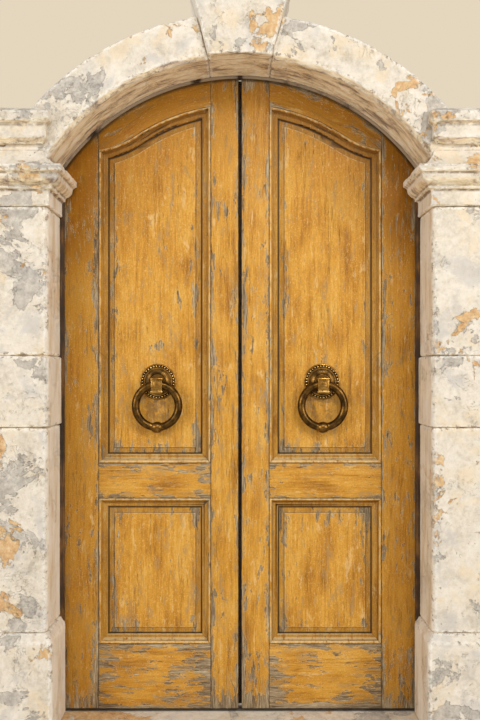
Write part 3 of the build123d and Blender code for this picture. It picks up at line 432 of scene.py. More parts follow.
    # Painted shade in crevices, on the panels' margins and in the groove between the leaves
    deep = g.times(g.math("POWER", g.larger(crevice, 0.0), 1.3),
                   g.step(g.noise(on_board, 60.0, 6, 0.7), 0.24, 0.44, 0.75, 1.0))
    mitre = g.times(g.band(g.less(end, g.less(half_across, across)), 0.0, 0.0032),
                    g.times(g.step(wear, -0.060, -0.070), g.step(z, 1.90, 1.88)))
    # Painted shadow along the leaf's arched edge, under the frame's head
    rim = g.times(g.step(round_arch, 0.899, 0.911), g.step(rise, 0.05, 0.20))
    grime_and_shade = g.larger(g.times(g.larger(joint, mitre), 0.72), g.larger(deep, g.times(rim, 0.75)))
    colour = g.stain(colour, grime_and_shade, 0.92, JOINT_GRIME_AND_SHADE)

    normal = g.bump(g.total((bare, -1.0), (cracks, -0.9), (flecks, -0.4)), 0.0007)
    normal = g.bump(g.total((hair, 0.5), (streak, 0.5)), 0.0011, normal)
    return coated(material, g, shader, colour, g.mix(bare, PAINT_ROUGH, BARE_ROUGH), normal)


# Frame and metal finishes

TIMBER_TONES = ((0.38, 30, 19, 10), (0.50, 66, 43, 20), (0.58, 112, 76, 34), (0.70, 150, 106, 52))
LIMED_TIMBER = srgb(178, 158, 134)
BRASS_TONES = ((0.34, 34, 25, 14), (0.46, 68, 50, 26), (0.57, 118, 86, 40), (0.70, 180, 138, 72),
               (0.86, 240, 208, 140))
IRON_TONES = ((0.36, 38, 35, 33), (0.52, 62, 56, 51), (0.70, 104, 82, 62))


def dark_timber():
    """Dark weathered timber of the frame, limed along with the stone over the leaves."""
    material, g, shader = new_material("dark_timber")
    place = g.place()
    x, _, z = g.split(place)
    grain = g.drawn_out(place, (160.0, 160.0, 6.0), 7, 0.65)
    blotch = g.noise(place, 9.0, 5)
    tone = g.ramp(g.total((grain, 0.5), (blotch, 0.5)), TIMBER_TONES)
    limed = g.times(g.step(z, 2.30, 2.36), g.step(blotch, 0.34, 0.46),
                    g.step(g.without_sign(x), 0.006, 0.016))
    tone = g.stain(tone, limed, 0.8, LIMED_TIMBER)
    return coated(material, g, shader, tone, g.step(grain, 0.3, 0.7, 0.70, 0.92),
                  g.bump(grain, 0.0010))


def aged_brass():
    """Brass gone dark, rubbed bright where hands and edges touch."""
    material, g, shader = new_material("aged_brass", Metallic=1.0)
    place = g.place()
    cloud = g.noise(place, 34.0, 7, 0.62)
    grain = g.noise(place, 240.0, 6, 0.7)
    worn = g.math("ADD", g.total((cloud, 0.50), (grain, 0.22), (g.stored("arris"), 0.62)), 0.135)
    return coated(material, g, shader, g.ramp(worn, BRASS_TONES),
                  g.step(worn, 0.35, 0.75, 0.37, 0.22),
                  g.bump(g.total((cloud, 0.6), (grain, 0.4)), 0.00025))


def dark_iron():
    """Hand-forged iron under old wax."""
    material, g, shader = new_material("dark_iron", Metallic=0.85)
    place = g.place()
    cloud = g.noise(place, 26.0, 6, 0.6)
    grain = g.noise(place, 320.0, 5, 0.65)
    tone = g.ramp(g.total((cloud, 0.7), (grain, 0.3)), IRON_TONES)
    return coated(material, g, shader, tone, g.step(cloud, 0.3, 0.7, 0.42, 0.68),
                  g.bump(g.total((cloud, 0.5), (grain, 0.5)), 0.0008))


FINISHES = {
    "limewashed_stone": limewashed_stone(),
    "ochre_painted_wood": ochre_paint(),
    "dark_timber": dark_timber(),
    "aged_brass": aged_brass(),
    "dark_iron": dark_iron(),
}


# Making pieces


def merged_copy(node):
    """Closed copy of a CAD node's mesh, with flat faces joined up."""
    shape = bmesh.new()
    shape.from_mesh(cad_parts[node].data)
    bmesh.ops.remove_doubles(shape, verts=shape.verts, dist=1e-5)
    bmesh.ops.dissolve_limit(shape, angle_limit=math.radians(0.4), verts=shape.verts,
                             edges=shape.edges)
    return shape


def link_object(name, data):
    """Object in the scene, at the origin."""
    made = bpy.data.objects.new(name, data)
    bpy.context.scene.collection.objects.link(made)
    return made


def to_object(shape, name):
    """Object with the shape as its mesh. The shape is used up."""
    mesh = bpy.data.meshes.new(name)
    shape.to_mesh(mesh)
    shape.free()
    return link_object(name, mesh)


def settle(made):
    """Turns an object and its modifiers into a plain mesh."""
    graph = bpy.context.evaluated_depsgraph_get()
    mesh = bpy.data.meshes.new_from_object(made.evaluated_get(graph))
    made.modifiers.clear()
    made.data = mesh
    return made


def grown(name, tree, inputs, points=()):
    """Plain mesh that a Geometry Nodes tree makes from its inputs, on points if given."""
    made = link_object(name, bpy.data.meshes.new(name))
    made.data.from_pydata(points, [], [])
    modifier = made.modifiers.new("grow", "NODES")
    modifier.node_group = tree
    for item in tree.interface.items_tree:
        if item.in_out == "INPUT" and item.name in inputs:
            modifier[item.identifier] = inputs[item.name]
    return settle(made)


def soften(made, width, angle=40, corner="MITER_SHARP"):
    """Takes the arrises off that are sharper than angle."""
    bevel = made.modifiers.new("arris", "BEVEL")
    bevel.width = width
    bevel.segments = 2
    bevel.limit_method = "ANGLE"
    bevel.angle_limit = math.radians(angle)
    bevel.miter_outer = corner
    return settle(made)


def cut(made, other):
    """Takes another object out of made and drops it."""
    cutting = made.modifiers.new("cut", "BOOLEAN")
    cutting.operation = "DIFFERENCE"
    cutting.solver = "EXACT"
    cutting.object = other
    settle(made)
    bpy.data.objects.remove(other)


def join(first, *others):
    """One mesh of several, in the first object."""
    shape = bmesh.new()
    shape.from_mesh(first.data)
    for other in others:
        shape.from_mesh(other.data)
        bpy.data.objects.remove(other)
    shape.to_mesh(first.data)
    shape.free()
    return first


def smooth_by_angle(made, degrees):
    """Shades smooth, but for edges sharper than the angle."""
    mesh = made.data
    mesh.polygons.foreach_set("use_smooth", [True] * len(mesh.polygons))
    mesh.set_sharp_from_angle(angle=math.radians(degrees))


def write_attribute(made, name, values):
    """Stores a number or a vector on each vertex."""
    if isinstance(values[0], tuple):
        stored = made.data.attributes.new(name, "FLOAT_VECTOR", "POINT")
        stored.data.foreach_set("vector", [number for value in values for number in value])
    else:
        stored = made.data.attributes.new(name, "FLOAT", "POINT")
        stored.data.foreach_set("value", values)


def put(made, body, slot, *nodes):
    """Finishes a piece: its material, body, slot and the CAD nodes that it replaces."""
    made.data.materials.clear()
    made.data.materials.append(FINISHES[slot])
    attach(made, body)
    if nodes:
        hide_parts(*nodes)


def spun(shape, section, centre, axis, turns):
    """Adds a turned form to shape. section is (distance along the axis, radius) pairs."""
    axis = Vector(axis)
    side = Vector((0, 0, 1)) if abs(axis.z) < 0.5 else Vector((1, 0, 0))
    across = axis.cross(side)
    rings = []
    for along, radius in section:
        middle = Vector(centre) + axis * along
        if radius < 1e-6:
            rings.append([shape.verts.new(middle)])
            continue
        ring = []
        for step in range(turns):
            turn = math.tau * step / turns
            out = side * math.cos(turn) + across * math.sin(turn)
            ring.append(shape.verts.new(middle + out * radius))
        rings.append(ring)
    for low, high in zip(rings, rings[1:]):
        for step in range(turns):
            after = (step + 1) % turns
            corners = [low[step % len(low)], low[after % len(low)],
                       high[after % len(high)], high[step % len(high)]]
            shape.faces.new(list(dict.fromkeys(corners)))


def finish_shape(shape):
    """Closes the seams and poles of a shape and turns its faces outwards."""
    bmesh.ops.remove_doubles(shape, verts=shape.verts, dist=1e-6)
    bmesh.ops.recalc_face_normals(shape, faces=shape.faces)


def turned(name, section, centre, axis, turns):
    """Object with one turned form."""
    shape = bmesh.new()
    spun(shape, section, centre, axis, turns)
    finish_shape(shape)
    return to_object(shape, name)


# Stone surround

# Mesh size of each weathered stone
STONES = {
    "plinth": 0.0070, "lower_shaft_block": 0.0075, "middle_shaft_block": 0.0070,
    "upper_shaft_block": 0.0075, "capital": 0.0048, "impost_block": 0.0052, "arch_stone": 0.0065,
}
KEYSTONE_MESH, THRESHOLD_MESH = 0.0058, 0.0095
SOCKET_PLACE = (BOLT_X, BACK_Y + 0.011, SILL)
SOCKET_SECTION = ((-0.045, 0.0), (-0.045, 0.0078), (0.010, 0.0078), (0.010, 0.0))


def weathering_tree():
    """Geometry Nodes: makes a stone's surface uneven and stores how hollow each point is."""
    tree, g, given = new_growth("weathering", (
        ("Swell", "Float", 0.0030), ("Pitting", "Float", 0.0014), ("Chips", "Float", 0.0075)))
    place = g.add("GeometryNodeInputPosition")
    normal = g.add("GeometryNodeInputNormal")
    blurred = g.add("GeometryNodeBlurAttribute", {"Value": place, "Iterations": 5},
                    data_type="FLOAT_VECTOR")
    pull = g.vector("SUBTRACT", blurred, place)
    hollow = g.times(g.vector("DOT_PRODUCT", pull, normal), 420.0)
    swell = g.less(g.noise(place, 5.5, 3), 0.5)
    pitting = g.less(g.noise(place, 42.0, 4, 0.6), 0.5)
    chip = g.times(g.step(g.noise(place, 17.0, 5, 0.6), 0.50, 0.66), g.step(hollow, -0.10, -0.70),
                   g.step(g.split(place)[1], -0.05, -0.10))
    depth = g.total((swell, given["Swell"]), (pitting, given["Pitting"]), (chip, given["Chips"]))
    offset = g.add("ShaderNodeVectorMath", {0: normal, "Scale": g.times(depth, -1.0)},
                   operation="SCALE")
    stored = g.add("GeometryNodeStoreNamedAttribute", {
        "Geometry": given["Geometry"], "Name": "hollow", "Value": hollow})
    moved = g.add("GeometryNodeSetPosition", {"Geometry": stored, "Offset": offset})
    g.node("NodeGroupOutput", {0: moved})
    return tree


def weathered_stone(node, mesh_size, tree):
    """A stone block with worn arrises and an uneven face."""
    made = to_object(merged_copy(node), f"{node}_stone")
    remesh = made.modifiers.new("even_mesh", "REMESH")
    remesh.mode = "VOXEL"
    remesh.voxel_size = mesh_size
    made.modifiers.new("weathering", "NODES").node_group = tree
    settle(made)
    sharp = 180
    if node == "threshold":
        # The even mesh closes the foot bolt's socket
        cut(made, turned("socket", SOCKET_SECTION, SOCKET_PLACE, (0, 0, 1), 24))
        sharp = 80
    smooth_by_angle(made, sharp)
    put(made, "surround", "limewashed_stone", node)


stone_tree = weathering_tree()
for stone, mesh_size in STONES.items():
    for side in SIDES:
        weathered_stone(f"{side}_{stone}", mesh_size, stone_tree)
weathered_stone("keystone", KEYSTONE_MESH, stone_tree)
weathered_stone("threshold", THRESHOLD_MESH, stone_tree)


# Timber

# Width of the arris taken off and wear of each board
BOARDS = {
    "hanging_stile": (0.0014, 0.026), "meeting_stile": (0.0014, 0.018),
    "top_rail": (0.0014, -0.02), "lock_rail": (0.0014, -0.005), "bottom_rail": (0.0014, 0.034),
    "upper_panel": (0.0010, UPPER_PANEL_WEAR), "lower_panel": (0.0010, LOWER_PANEL_WEAR),
}
MOULDING_ARRIS, FRAME_ARRIS = 0.0007, 0.0025
TIMBER_SHARP = 28
# Depths of a panel's sloped margin, at its outer and its inner edge
MARGIN_DEPTHS = {0.024, 0.019}
# Where a panel's field ends, whose ridges are rubbed and have a painted highlight, and where its
# margin in painted shade, its darker foot and hidden tongue start
FIELD_END_Y, MARGIN_Y, MARGIN_FOOT_Y, TONGUE_Y = 0.0165, 0.0185, 0.0230, 0.0245
MARGIN_SHADE = 0.36
# The groove between the leaves: half its width, and where its painted shade starts, is full and
# ends
GROOVE_HALF, GROOVE_Y, GROOVE_RUN, GROOVE_END_Y = 0.0068, 0.0015, 0.004, 0.053
# A moulding's nose, rubbed and with a painted highlight, its slope in painted shade and its foot in
# dark painted shade: where each starts and how deep it runs
NOSE_Y, NOSE_RUN = -0.002, 0.005
SLOPE_Y, SLOPE_RUN, SLOPE_SHADE = 0.001, 0.013, 0.40
FOOT_Y, FOOT_RUN = 0.016, 0.006
# The leaves' meeting lips: where they are, how far each moves and what has to stay
LIP_REACH, LIP_FROM_Y, LIP_SHIFT, LIP_HALF_GAP = 0.0018, 0.05, 0.00019, 0.00006


def islands(mesh):
    """Vertex indices of each connected part of a mesh."""
    parent = list(range(len(mesh.vertices)))

    def root(index):
        while parent[index] != index:
            parent[index] = parent[parent[index]]
            index = parent[index]
        return index

    for edge in mesh.edges:
        a, b = edge.vertices
        parent[root(a)] = root(b)
    groups = {}
    for index in range(len(mesh.vertices)):
        groups.setdefault(root(index), []).append(index)
    return list(groups.values())


def grain_place(point, lengthways, arched):
    """Where a point lies: across and along the grain, and its depth."""
    if arched:
        x, z = abs(point.x), point.z - ARCH_CENTRE_Z
        return math.hypot(x, z), math.atan2(x, z) * math.hypot(x, z), point.y
    if lengthways:
        return point.x, point.z, point.y
    return point.z, point.x, point.y


def mark_boards(made, number, wear, arched=False, front_depth=0.004):
    """Stores where each point lies on its board, the board's size, and a shift of its own."""
    mesh = made.data
    count = len(mesh.vertices)
    centre = sum((vertex.co for vertex in mesh.vertices), Vector()) / count
    board, size, shift = [None] * count, [None] * count, [None] * count
    for order, members in enumerate(islands(mesh)):
        points = [mesh.vertices[index].co for index in members]
        front = min(point.y for point in points) + front_depth
        shown = [point for point in points if point.y <= front]
        wide = max(p.x for p in shown) - min(p.x for p in shown)
        tall = max(p.z for p in shown) - min(p.z for p in shown)
        bent = arched and tall < wide
        across, along, _ = zip(*(grain_place(point, tall >= wide, bent) for point in shown))
        middle = ((max(across) + min(across)) / 2, (max(along) + min(along)) / 2)
        outward = 1 if middle[0] > grain_place(centre, tall >= wide, bent)[0] else -1
        halves = ((max(across) - min(across)) / 2, (max(along) - min(along)) / 2, wear)
        moved = (number * 1.731 + order * 0.617, number * 2.393 + order * 1.113, number * 0.7)
        for index in members:
            a, b, depth = grain_place(mesh.vertices[index].co, tall >= wide, bent)
            board[index] = ((a - middle[0]) * outward, b - middle[1], depth)
            size[index] = halves
            shift[index] = moved
    write_attribute(made, "board", board)
    write_attribute(made, "board_size", size)
    write_attribute(made, "board_shift", shift)


def fold_angles(made):
    """For each vertex, the angles of the folds at its edges, above 0 if outwards."""
    shape = bmesh.new()
    shape.from_mesh(made.data)
    found = [[edge.calc_face_angle_signed(0.0) for edge in vertex.link_edges
              if len(edge.link_faces) == 2] for vertex in shape.verts]
    shape.free()
    return found


def clamped(value):
    """The value, kept between 0 and 1."""
    return max(0.0, min(1.0, value))


def folds(made, way, full):
    """Each vertex's fold, 1 at the full angle in radians: way is 1 for outwards, -1 for inwards."""
    return [clamped(max((way * turn for turn in turns), default=0.0) / full)
            for turns in fold_angles(made)]


def split_margin(shape):
    """Cuts a panel's margin and its field's edge into strips, to keep what is stored narrow."""
    crossing = [edge for edge in shape.edges
                if {round(vertex.co.y, 3) for vertex in edge.verts} == MARGIN_DEPTHS]
    bmesh.ops.subdivide_edges(shape, edges=crossing, cuts=6, use_grid_fill=True)
    field = [face for face in shape.faces
             if face.normal.y < -0.99 and abs(face.calc_center_median().y - FIELD_Y) < 0.0005]
    bmesh.ops.inset_region(shape, faces=field, thickness=0.0045, use_even_offset=True)


def bevelled(node, name, width, angle=38):
    """Copy of a CAD node with its arrises taken off."""
    shape = merged_copy(node)
    if node.endswith("_panel"):
        split_margin(shape)
    return soften(to_object(shape, name), width, angle, "MITER_ARC")


def close_meeting(made):
    """Brings the leaves' lips nearly together, so that no daylight shows between them."""
    for vertex in made.data.vertices:
        x = abs(vertex.co.x)
        if x < LIP_REACH and vertex.co.y > LIP_FROM_Y:
            vertex.co.x = math.copysign(max(LIP_HALF_GAP, x - LIP_SHIFT), vertex.co.x)


def panel_crevice(depth, fold):
    """Painted shade on a panel: in its folds, on its margin, and most at the margin's foot."""
    if depth >= TONGUE_Y:
        return 0.0
    return max(fold, 1.0 if depth > MARGIN_FOOT_Y else MARGIN_SHADE if depth > MARGIN_Y else 0.0)


def board_relief(made, board):
    """Ridge, rubbed and with a painted highlight, and crevice in painted shade, of each vertex of a
    board.
    """
    places = [vertex.co for vertex in made.data.vertices]
    flat = [0.0] * len(places)
    if board == "meeting_stile":
        groove = [min(1.0, (p.y - GROOVE_Y) / GROOVE_RUN)
                  if abs(p.x) < GROOVE_HALF and p.y < GROOVE_END_Y else 0.0 for p in places]
        return flat, groove
    if "panel" in board:
        outward, inward = folds(made, 1, full=0.5), folds(made, -1, full=0.6)
        return ([fold if p.y < FIELD_END_Y else 0.0 for fold, p in zip(outward, places)],
                [panel_crevice(p.y, fold) for fold, p in zip(inward, places)])
    return flat, flat


def moulding_relief(made):
    """Ridge, rubbed and with a painted highlight, and crevice in painted shade, of each vertex of a
    moulding.
    """
    depths = [vertex.co.y for vertex in made.data.vertices]
    nose = [clamped(1.0 - (depth - NOSE_Y) / NOSE_RUN) for depth in depths]
    crevice = [max(fold, SLOPE_SHADE * clamped((depth - SLOPE_Y) / SLOPE_RUN),
                   min(1.0, (depth - FOOT_Y) / FOOT_RUN))
               for fold, depth in zip(folds(made, -1, full=0.7), depths)]
    return nose, crevice


def paint_piece(made, relief, body, node):
    """Finishes a painted board or moulding."""
    ridge, crevice = relief
    write_attribute(made, "arris", ridge)
    write_attribute(made, "crevice", crevice)
    smooth_by_angle(made, TIMBER_SHARP)
    put(made, body, "ochre_painted_wood", node)


number = 0
for side in SIDES:
    for board, (width, wear) in BOARDS.items():
        number += 1
        node = f"{side}_{board}"
        made = bevelled(node, f"{node}_board", width)
        mark_boards(made, number, wear, arched=board == "top_rail")
        if board == "meeting_stile":
            close_meeting(made)
        paint_piece(made, board_relief(made, board), f"{side}_leaf", node)
    for moulding in ("upper_moulding", "lower_moulding"):
        number += 1
        node = f"{side}_{moulding}"
        made = bevelled(node, f"{node}_run", MOULDING_ARRIS, 62)
        mark_boards(made, number, MOULDING_WEAR, arched=moulding == "upper_moulding",
                    front_depth=1.0)
        paint_piece(made, moulding_relief(made), f"{side}_leaf", node)
    for member in ("frame_jamb", "frame_head"):
        node = f"{side}_{member}"
        made = bevelled(node, f"{node}_timber", FRAME_ARRIS)
        smooth_by_angle(made, TIMBER_SHARP)
        put(made, "surround", "dark_timber", node)


# Knockers

POST_FACE, POST_BACK = -0.049, FIELD_Y - 0.010
POST_LOW, POST_HIGH, POST_BAND = PIVOT_Z - 0.037, PIVOT_Z + 0.0265, 0.010
SHAFT_HALF, BAND_HALF, PAD_HALF, PAD_RISE = 0.0232, 0.025, 0.012, 0.015
BORE_REACH, BORE_STEPS, BORE_CLEARANCE = 0.027, 16, 0.0005
BOSS_HALF, BOSS_R = 0.0290, 0.0240
RING_TURNS, WIRE_SIDES = 128, 28
BEADS_Y = FIELD_Y - 0.0055
BEAD_WEAR, BOSS_WEAR = 0.48, 0.10


def arc(start, end, sag, count):
    """Points of a curve between two (along, radius) points that bows out by sag."""
    run = Vector((end[0] - start[0], end[1] - start[1]))
    out = Vector((run.y, -run.x)).normalized()
    points = []
    for step in range(count + 1):
        share = step / count
        bow = out * (4 * sag * share * (1 - share))
        points.append((start[0] + run.x * share + bow.x, start[1] + run.y * share + bow.y))
    return points


# Shank, back, rim, bead channel, dome and boss, as (distance to the front, radius)
PLATE_SECTION = (
    (-0.0535, 0.0), (-0.0535, 0.0072), (-0.0527, 0.0080), (0.0, 0.0080), (0.0, 0.0762),
    (0.0004, 0.0770), (0.0026, 0.0770), (0.0040, 0.0762), (0.0050, 0.0745), (0.0052, 0.0720),
    (0.0046, 0.0710), (0.0046, 0.0622), (0.0052, 0.0612), (0.0062, 0.0600), (0.0062, 0.0584),
    (0.0050, 0.0578), *arc((0.0052, 0.0574), (0.0132, 0.0330), 0.0022, 10),
    (0.0140, 0.0322), (0.0178, 0.0316), (0.0187, 0.0308), (0.0190, 0.0296), (0.0190, 0.0),
)


def block(x, half, face, back, foot, top, round_off):
    """Upright block with its arrises taken off."""
    shape = bmesh.new()
    place = Matrix.LocRotScale(Vector((x, (face + back) / 2, (foot + top) / 2)), None,
                               Vector((2 * half, back - face, top - foot)))
    bmesh.ops.create_cube(shape, size=1.0, matrix=place)
    return soften(to_object(shape, "block"), round_off)


def bore(x):
    """Bell-mouthed hole round the ring's wire."""
    clear = RING_R - WIRE_R - BORE_CLEARANCE
    section = [(-BORE_REACH, 0.0)]
    for step in range(BORE_STEPS + 1):
        along = -BORE_REACH + 2 * BORE_REACH * step / BORE_STEPS
        section.append((along, RING_R - math.sqrt(clear**2 - along**2)))
    section.append((BORE_REACH, 0.0))
    return turned("bore", section, (x, PIVOT_Y, PIVOT_Z), (1, 0, 0), 48)


def brass_post(x):
    """Square post with a band at top and foot, a pad on its face and the ring's bore."""
    shaft = block(x, SHAFT_HALF, POST_FACE + 0.002, POST_BACK, POST_LOW + 0.003, POST_HIGH - 0.003,
                  0.0008)
    foot_band = block(x, BAND_HALF, POST_FACE, POST_BACK, POST_LOW, POST_LOW + POST_BAND, 0.0022)
    head_band = block(x, BAND_HALF, POST_FACE, POST_BACK, POST_HIGH - POST_BAND, POST_HIGH, 0.0022)
    for made in (shaft, head_band):
        cut(made, bore(x))
    middle = (POST_LOW + POST_HIGH) / 2
    pad = block(x, PAD_HALF, POST_FACE + 0.0004, POST_FACE + 0.003, middle - PAD_RISE,
                middle + PAD_RISE, 0.0006)
    return join(shaft, foot_band, head_band, pad)


def exposed_edges(made):
    """How much each point of a casting stands out, and so wears bright."""
    return [max(-0.5, min(0.3, sum(turns) / 6.0)) for turns in fold_angles(made)]


def beads_tree():
    """Geometry Nodes: a ring of round beads."""
    tree, g, given = new_growth("beads", (
        ("Count", "Int", 34), ("Circle Radius", "Float", 0.0665), ("Bead Radius", "Float", 0.0039),
        ("Centre", "Vector", (0.0, 0.0, 0.0)), ("Material", "Material", None)),
        takes_geometry=False)
    circle = g.add("GeometryNodeMeshCircle", {
        "Vertices": given["Count"], "Radius": given["Circle Radius"]})
    bead = g.add("GeometryNodeMeshUVSphere", {
        "Segments": 12, "Rings": 8, "Radius": given["Bead Radius"]})
    placed = g.add("GeometryNodeInstanceOnPoints", {"Points": circle, "Instance": bead})
    upright = g.add("GeometryNodeTransform", {
        "Geometry": placed, "Translation": given["Centre"],
        "Rotation": (math.radians(90), 0.0, 0.0)})
    end_growth(g, upright, given["Material"])
    return tree


def knocker_ring(x, name):
    """Smooth ring with an elongated bead at its foot."""
    shape = bmesh.new()
    middle = Vector((x, PIVOT_Y, PIVOT_Z - RING_R))
    rings = []
    for step in range(RING_TURNS):
        turn = math.tau * step / RING_TURNS
        out = Vector((math.sin(turn), 0, math.cos(turn)))
        ring = []
        for side in range(WIRE_SIDES):
            lean = math.tau * side / WIRE_SIDES
            round_wire = out * math.cos(lean) + Vector((0, 1, 0)) * math.sin(lean)
            ring.append(shape.verts.new(middle + out * RING_R + round_wire * WIRE_R))
        rings.append(ring)
    for near, far in zip(rings, rings[1:] + rings[:1]):
        for side in range(WIRE_SIDES):
            after = (side + 1) % WIRE_SIDES
            shape.faces.new((near[side], far[side], far[after], near[after]))
    section = [(-BOSS_HALF * math.cos(math.radians(turn)), BOSS_R * math.sin(math.radians(turn)))
               for turn in range(0, 181, 6)]
    spun(shape, section, (x, PIVOT_Y, PIVOT_Z - 2 * RING_R), (1, 0, 0), 40)
    finish_shape(shape)
    made = to_object(shape, name)
    offsets = [vertex.co - middle for vertex in made.data.vertices]
    write_attribute(made, "arris", [
        BOSS_WEAR if offset.z < -0.062 and abs(offset.x) < 0.0268 else 0.0 for offset in offsets])
    return made


bead_nodes = beads_tree()
for side, sign in SIDES.items():
    x = sign * KNOCKER_X
    plate = turned(f"{side}_knocker_plate_brass", PLATE_SECTION, (x, FIELD_Y, PLATE_Z),
                   (0, -1, 0), 96)
    cut(plate, bore(x))
    join(plate, brass_post(x))
    write_attribute(plate, "arris", exposed_edges(plate))
    smooth_by_angle(plate, 34)
    put(plate, f"{side}_leaf", "aged_brass", f"{side}_knocker_plate")
    beads = grown(f"{side}_knocker_beads", bead_nodes, {
        "Centre": (x, BEADS_Y, PLATE_Z), "Material": FINISHES["aged_brass"]})
    write_attribute(beads, "arris", [BEAD_WEAR] * len(beads.data.vertices))
    smooth_by_angle(beads, 60)
    put(beads, f"{side}_leaf", "aged_brass")
    ring = knocker_ring(x, f"{side}_knocker_ring_brass")
    smooth_by_angle(ring, 40)
    put(ring, f"{side}_ring", "aged_brass", f"{side}_knocker_ring")


# Ironwork

# Hinges: heights over the threshold, plate's middle from the pin, and each screw's rise and shift
HINGE_HEIGHTS, HINGE_PLATE = (0.280, 1.215, 2.150), 0.0285
HINGE_ROW = ((-0.045, 0.0), (0.0, 0.007), (0.045, 0.0))
LEAF_FOOT_GAP, BOTTOM_RAIL, LOWER_OPENING, LOCK_RAIL = 0.010, 0.275, 0.619, 0.149
DRAW_Z = SILL + LEAF_FOOT_GAP + BOTTOM_RAIL + LOWER_OPENING + LOCK_RAIL / 2
TOP_Z = ARCH_CENTRE_Z + math.sqrt(LEAF_ARCH_R**2 - BOLT_X**2)
HINGE_SCREW_Y, PLATE_SCREW_Y, KEEPER_SCREW_Y = BACK_Y + 0.004, BACK_Y + 0.003, BACK_Y + 0.021
PLATE_ROW, KEEPER_ROW = (-0.012, 0.012), (-0.0128, 0.0128)
TOP_KEEPER_Z, DRAW_KEEPER_X, DRAW_PLATE_X = TOP_Z + 0.027, -0.023, (0.046, 0.140)
# Lower and upper end of each upright bolt's plate, and its screws' distance from them
TOP_PLATE, FOOT_PLATE = (TOP_Z - 0.228, TOP_Z - 0.020), (SILL + 0.026, SILL + 0.274)
PLATE_END = 0.032


def screws_tree():
    """Geometry Nodes: a screw head on each point, its slot at an angle of its own."""
    tree, g, given = new_growth("screws", (
        ("Head Radius", "Float", 0.0042), ("Head Height", "Float", 0.0016), ("Seed", "Int", 7),
        ("Material", "Material", None)))
    radius, height = given["Head Radius"], given["Head Height"]
    head = g.add("GeometryNodeMeshCone", {
        "Vertices": 20, "Radius Top": g.times(radius, 0.72), "Radius Bottom": radius,
        "Depth": height})
    slot = g.add("GeometryNodeMeshCube", {"Size": (0.020, 0.0010, 0.0016)})
    slot = g.add("GeometryNodeTransform", {"Geometry": slot, "Translation": g.add(
        "ShaderNodeCombineXYZ", {2: g.math("ADD", height, 0.0001)})})
    screw = g.add("GeometryNodeMeshBoolean", {"Mesh 1": head, "Mesh 2": slot},
                  operation="DIFFERENCE")
    turn = g.add("FunctionNodeRandomValue", {2: 0.0, 3: 3.1416, "Seed": given["Seed"]}, 1,
                 data_type="FLOAT")
    angles = g.add("ShaderNodeCombineXYZ", {0: math.radians(-90), 1: turn})
    placed = g.add("GeometryNodeInstanceOnPoints", {
        "Points": given["Geometry"], "Instance": screw, "Rotation": angles})
    end_growth(g, placed, given["Material"])
    return tree


def hinge_screws(sign, inwards):
    """Three screws in each plate of a leaf's hinges: inwards is 1 on the leaf, -1 on the frame."""
    return [(sign * (HINGE_X - inwards * (HINGE_PLATE + shift)), HINGE_SCREW_Y,
             SILL + height + rise) for height in HINGE_HEIGHTS for rise, shift in HINGE_ROW]


def rod_screws(low, high):
    """Four screws through an upright bolt's plate, between its guides."""
    return [(BOLT_X + side, PLATE_SCREW_Y, z)
            for side in PLATE_ROW for z in (low + PLATE_END, high - PLATE_END)]


SCREWS = {
    "surround": (hinge_screws(1, -1) + hinge_screws(-1, -1)
                 + [(BOLT_X + side, KEEPER_SCREW_Y, TOP_KEEPER_Z) for side in KEEPER_ROW]),
    "left_leaf": (hinge_screws(-1, 1) + rod_screws(*TOP_PLATE) + rod_screws(*FOOT_PLATE)
                  + [(DRAW_KEEPER_X, KEEPER_SCREW_Y, DRAW_Z + side) for side in KEEPER_ROW]),
    "right_leaf": (hinge_screws(1, 1)
                   + [(x, PLATE_SCREW_Y, DRAW_Z + side)
                      for side in PLATE_ROW for x in DRAW_PLATE_X]),
}
screw_nodes = screws_tree()
for body, points in SCREWS.items():
    made = grown(f"{body}_screws", screw_nodes, {"Material": FINISHES["dark_iron"]}, points)
    put(made, body, "dark_iron")

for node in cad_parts.values():
    if not node.hide_render:
        node.data.materials.clear()
        node.data.materials.append(FINISHES["dark_iron"])


# Studio

FLOOR_HALF = 14.0
FLOOR_TONES = ((0.3, 226, 221, 211), (0.7, 233, 228, 219))
DAYLIGHT, FILL_LIGHT = (1.0, 0.985, 0.955), (1.0, 0.98, 0.95)
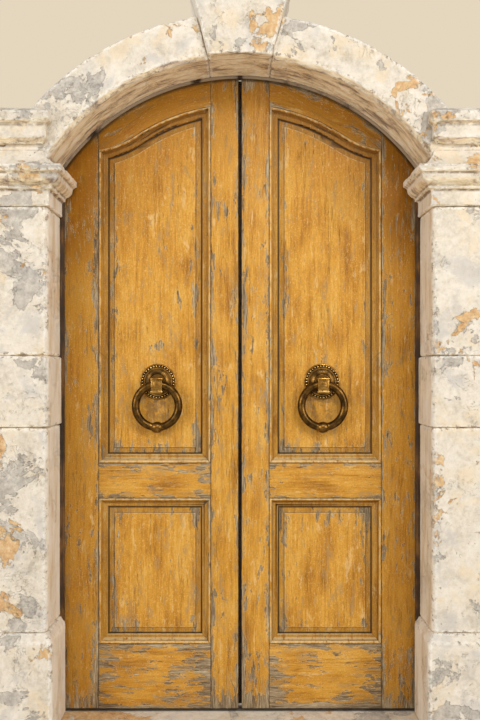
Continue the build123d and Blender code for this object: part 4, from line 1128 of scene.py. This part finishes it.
# Place, target, size, watts and shade of each lamp
LAMPS = {
    "key": ((1.0, -5.2, 5.5), (0.0, 0.0, 1.3), (2.4, 1.6), 132, DAYLIGHT),
    "left": ((-4.7, -4.6, 3.0), (0.3, 0.0, 1.4), (3.0, 3.0), 154, FILL_LIGHT),
    "right": ((4.7, -4.6, 3.0), (-0.3, 0.0, 1.4), (3.0, 3.0), 166, FILL_LIGHT),
    "back": ((-1.4, 6.0, 4.6), (0.0, 0.0, 1.4), (3.0, 2.2), 230, DAYLIGHT),
}
SKY, SKY_STRENGTH, BACKDROP = srgb(238, 236, 232), 0.33, srgb(229, 214, 190)
EYE, LENS, PICTURE_SHIFT = (0.0, -3.216, 1.572), 37.83, 14.0 / 720.0


def studio_floor():
    """Plain pale floor."""
    mesh = bpy.data.meshes.new("floor")
    corners = [(x * FLOOR_HALF, y * FLOOR_HALF, 0) for x, y in ((-1, -1), (1, -1), (1, 1), (-1, 1))]
    mesh.from_pydata(corners, [], [(0, 1, 2, 3)])
    floor = link_object("floor", mesh)
    material, g, shader = new_material("studio_floor", Roughness=0.9)
    g.feed(shader.inputs["Base Color"], g.ramp(g.noise(g.place(), 0.8, 3), FLOOR_TONES))
    mesh.materials.append(material)


def area_light(name, place, target, size, watts, shade):
    """Rectangular lamp turned to a target."""
    data = bpy.data.lights.new(name, "AREA")
    data.shape = "RECTANGLE"
    data.size, data.size_y = size
    data.energy = watts
    data.color = shade
    lamp = link_object(name, data)
    lamp.location = place
    lamp.rotation_euler = (Vector(target) - Vector(place)).to_track_quat("-Z", "Y").to_euler()


def studio_world():
    """Even light all round, and a plain background where it is seen or mirrored."""
    world = bpy.data.worlds.new("studio")
    bpy.context.scene.world = world
    world.use_nodes = True
    g = Graph(world.node_tree)
    rays = g.node("ShaderNodeLightPath").outputs
    shown = g.larger(rays["Is Camera Ray"],
                     g.larger(rays["Is Glossy Ray"], rays["Is Transmission Ray"]))
    light = g.add("ShaderNodeBackground", {"Color": SKY, "Strength": SKY_STRENGTH})
    backdrop = g.add("ShaderNodeBackground", {"Color": BACKDROP, "Strength": 1.0})
    mixed = g.add("ShaderNodeMixShader", {0: shown, 1: light, 2: backdrop})
    g.node("ShaderNodeOutputWorld", {0: mixed})


studio_floor()
studio_world()
for name, settings in LAMPS.items():
    area_light(name, *settings)

camera_data = bpy.data.cameras.new("camera")
camera_data.lens = LENS
camera_data.shift_y = PICTURE_SHIFT
camera = link_object("camera", camera_data)
camera.location = EYE
camera.rotation_euler = (math.radians(90), 0, 0)
bpy.context.scene.camera = camera
bpy.context.scene.view_settings.view_transform = "Standard"
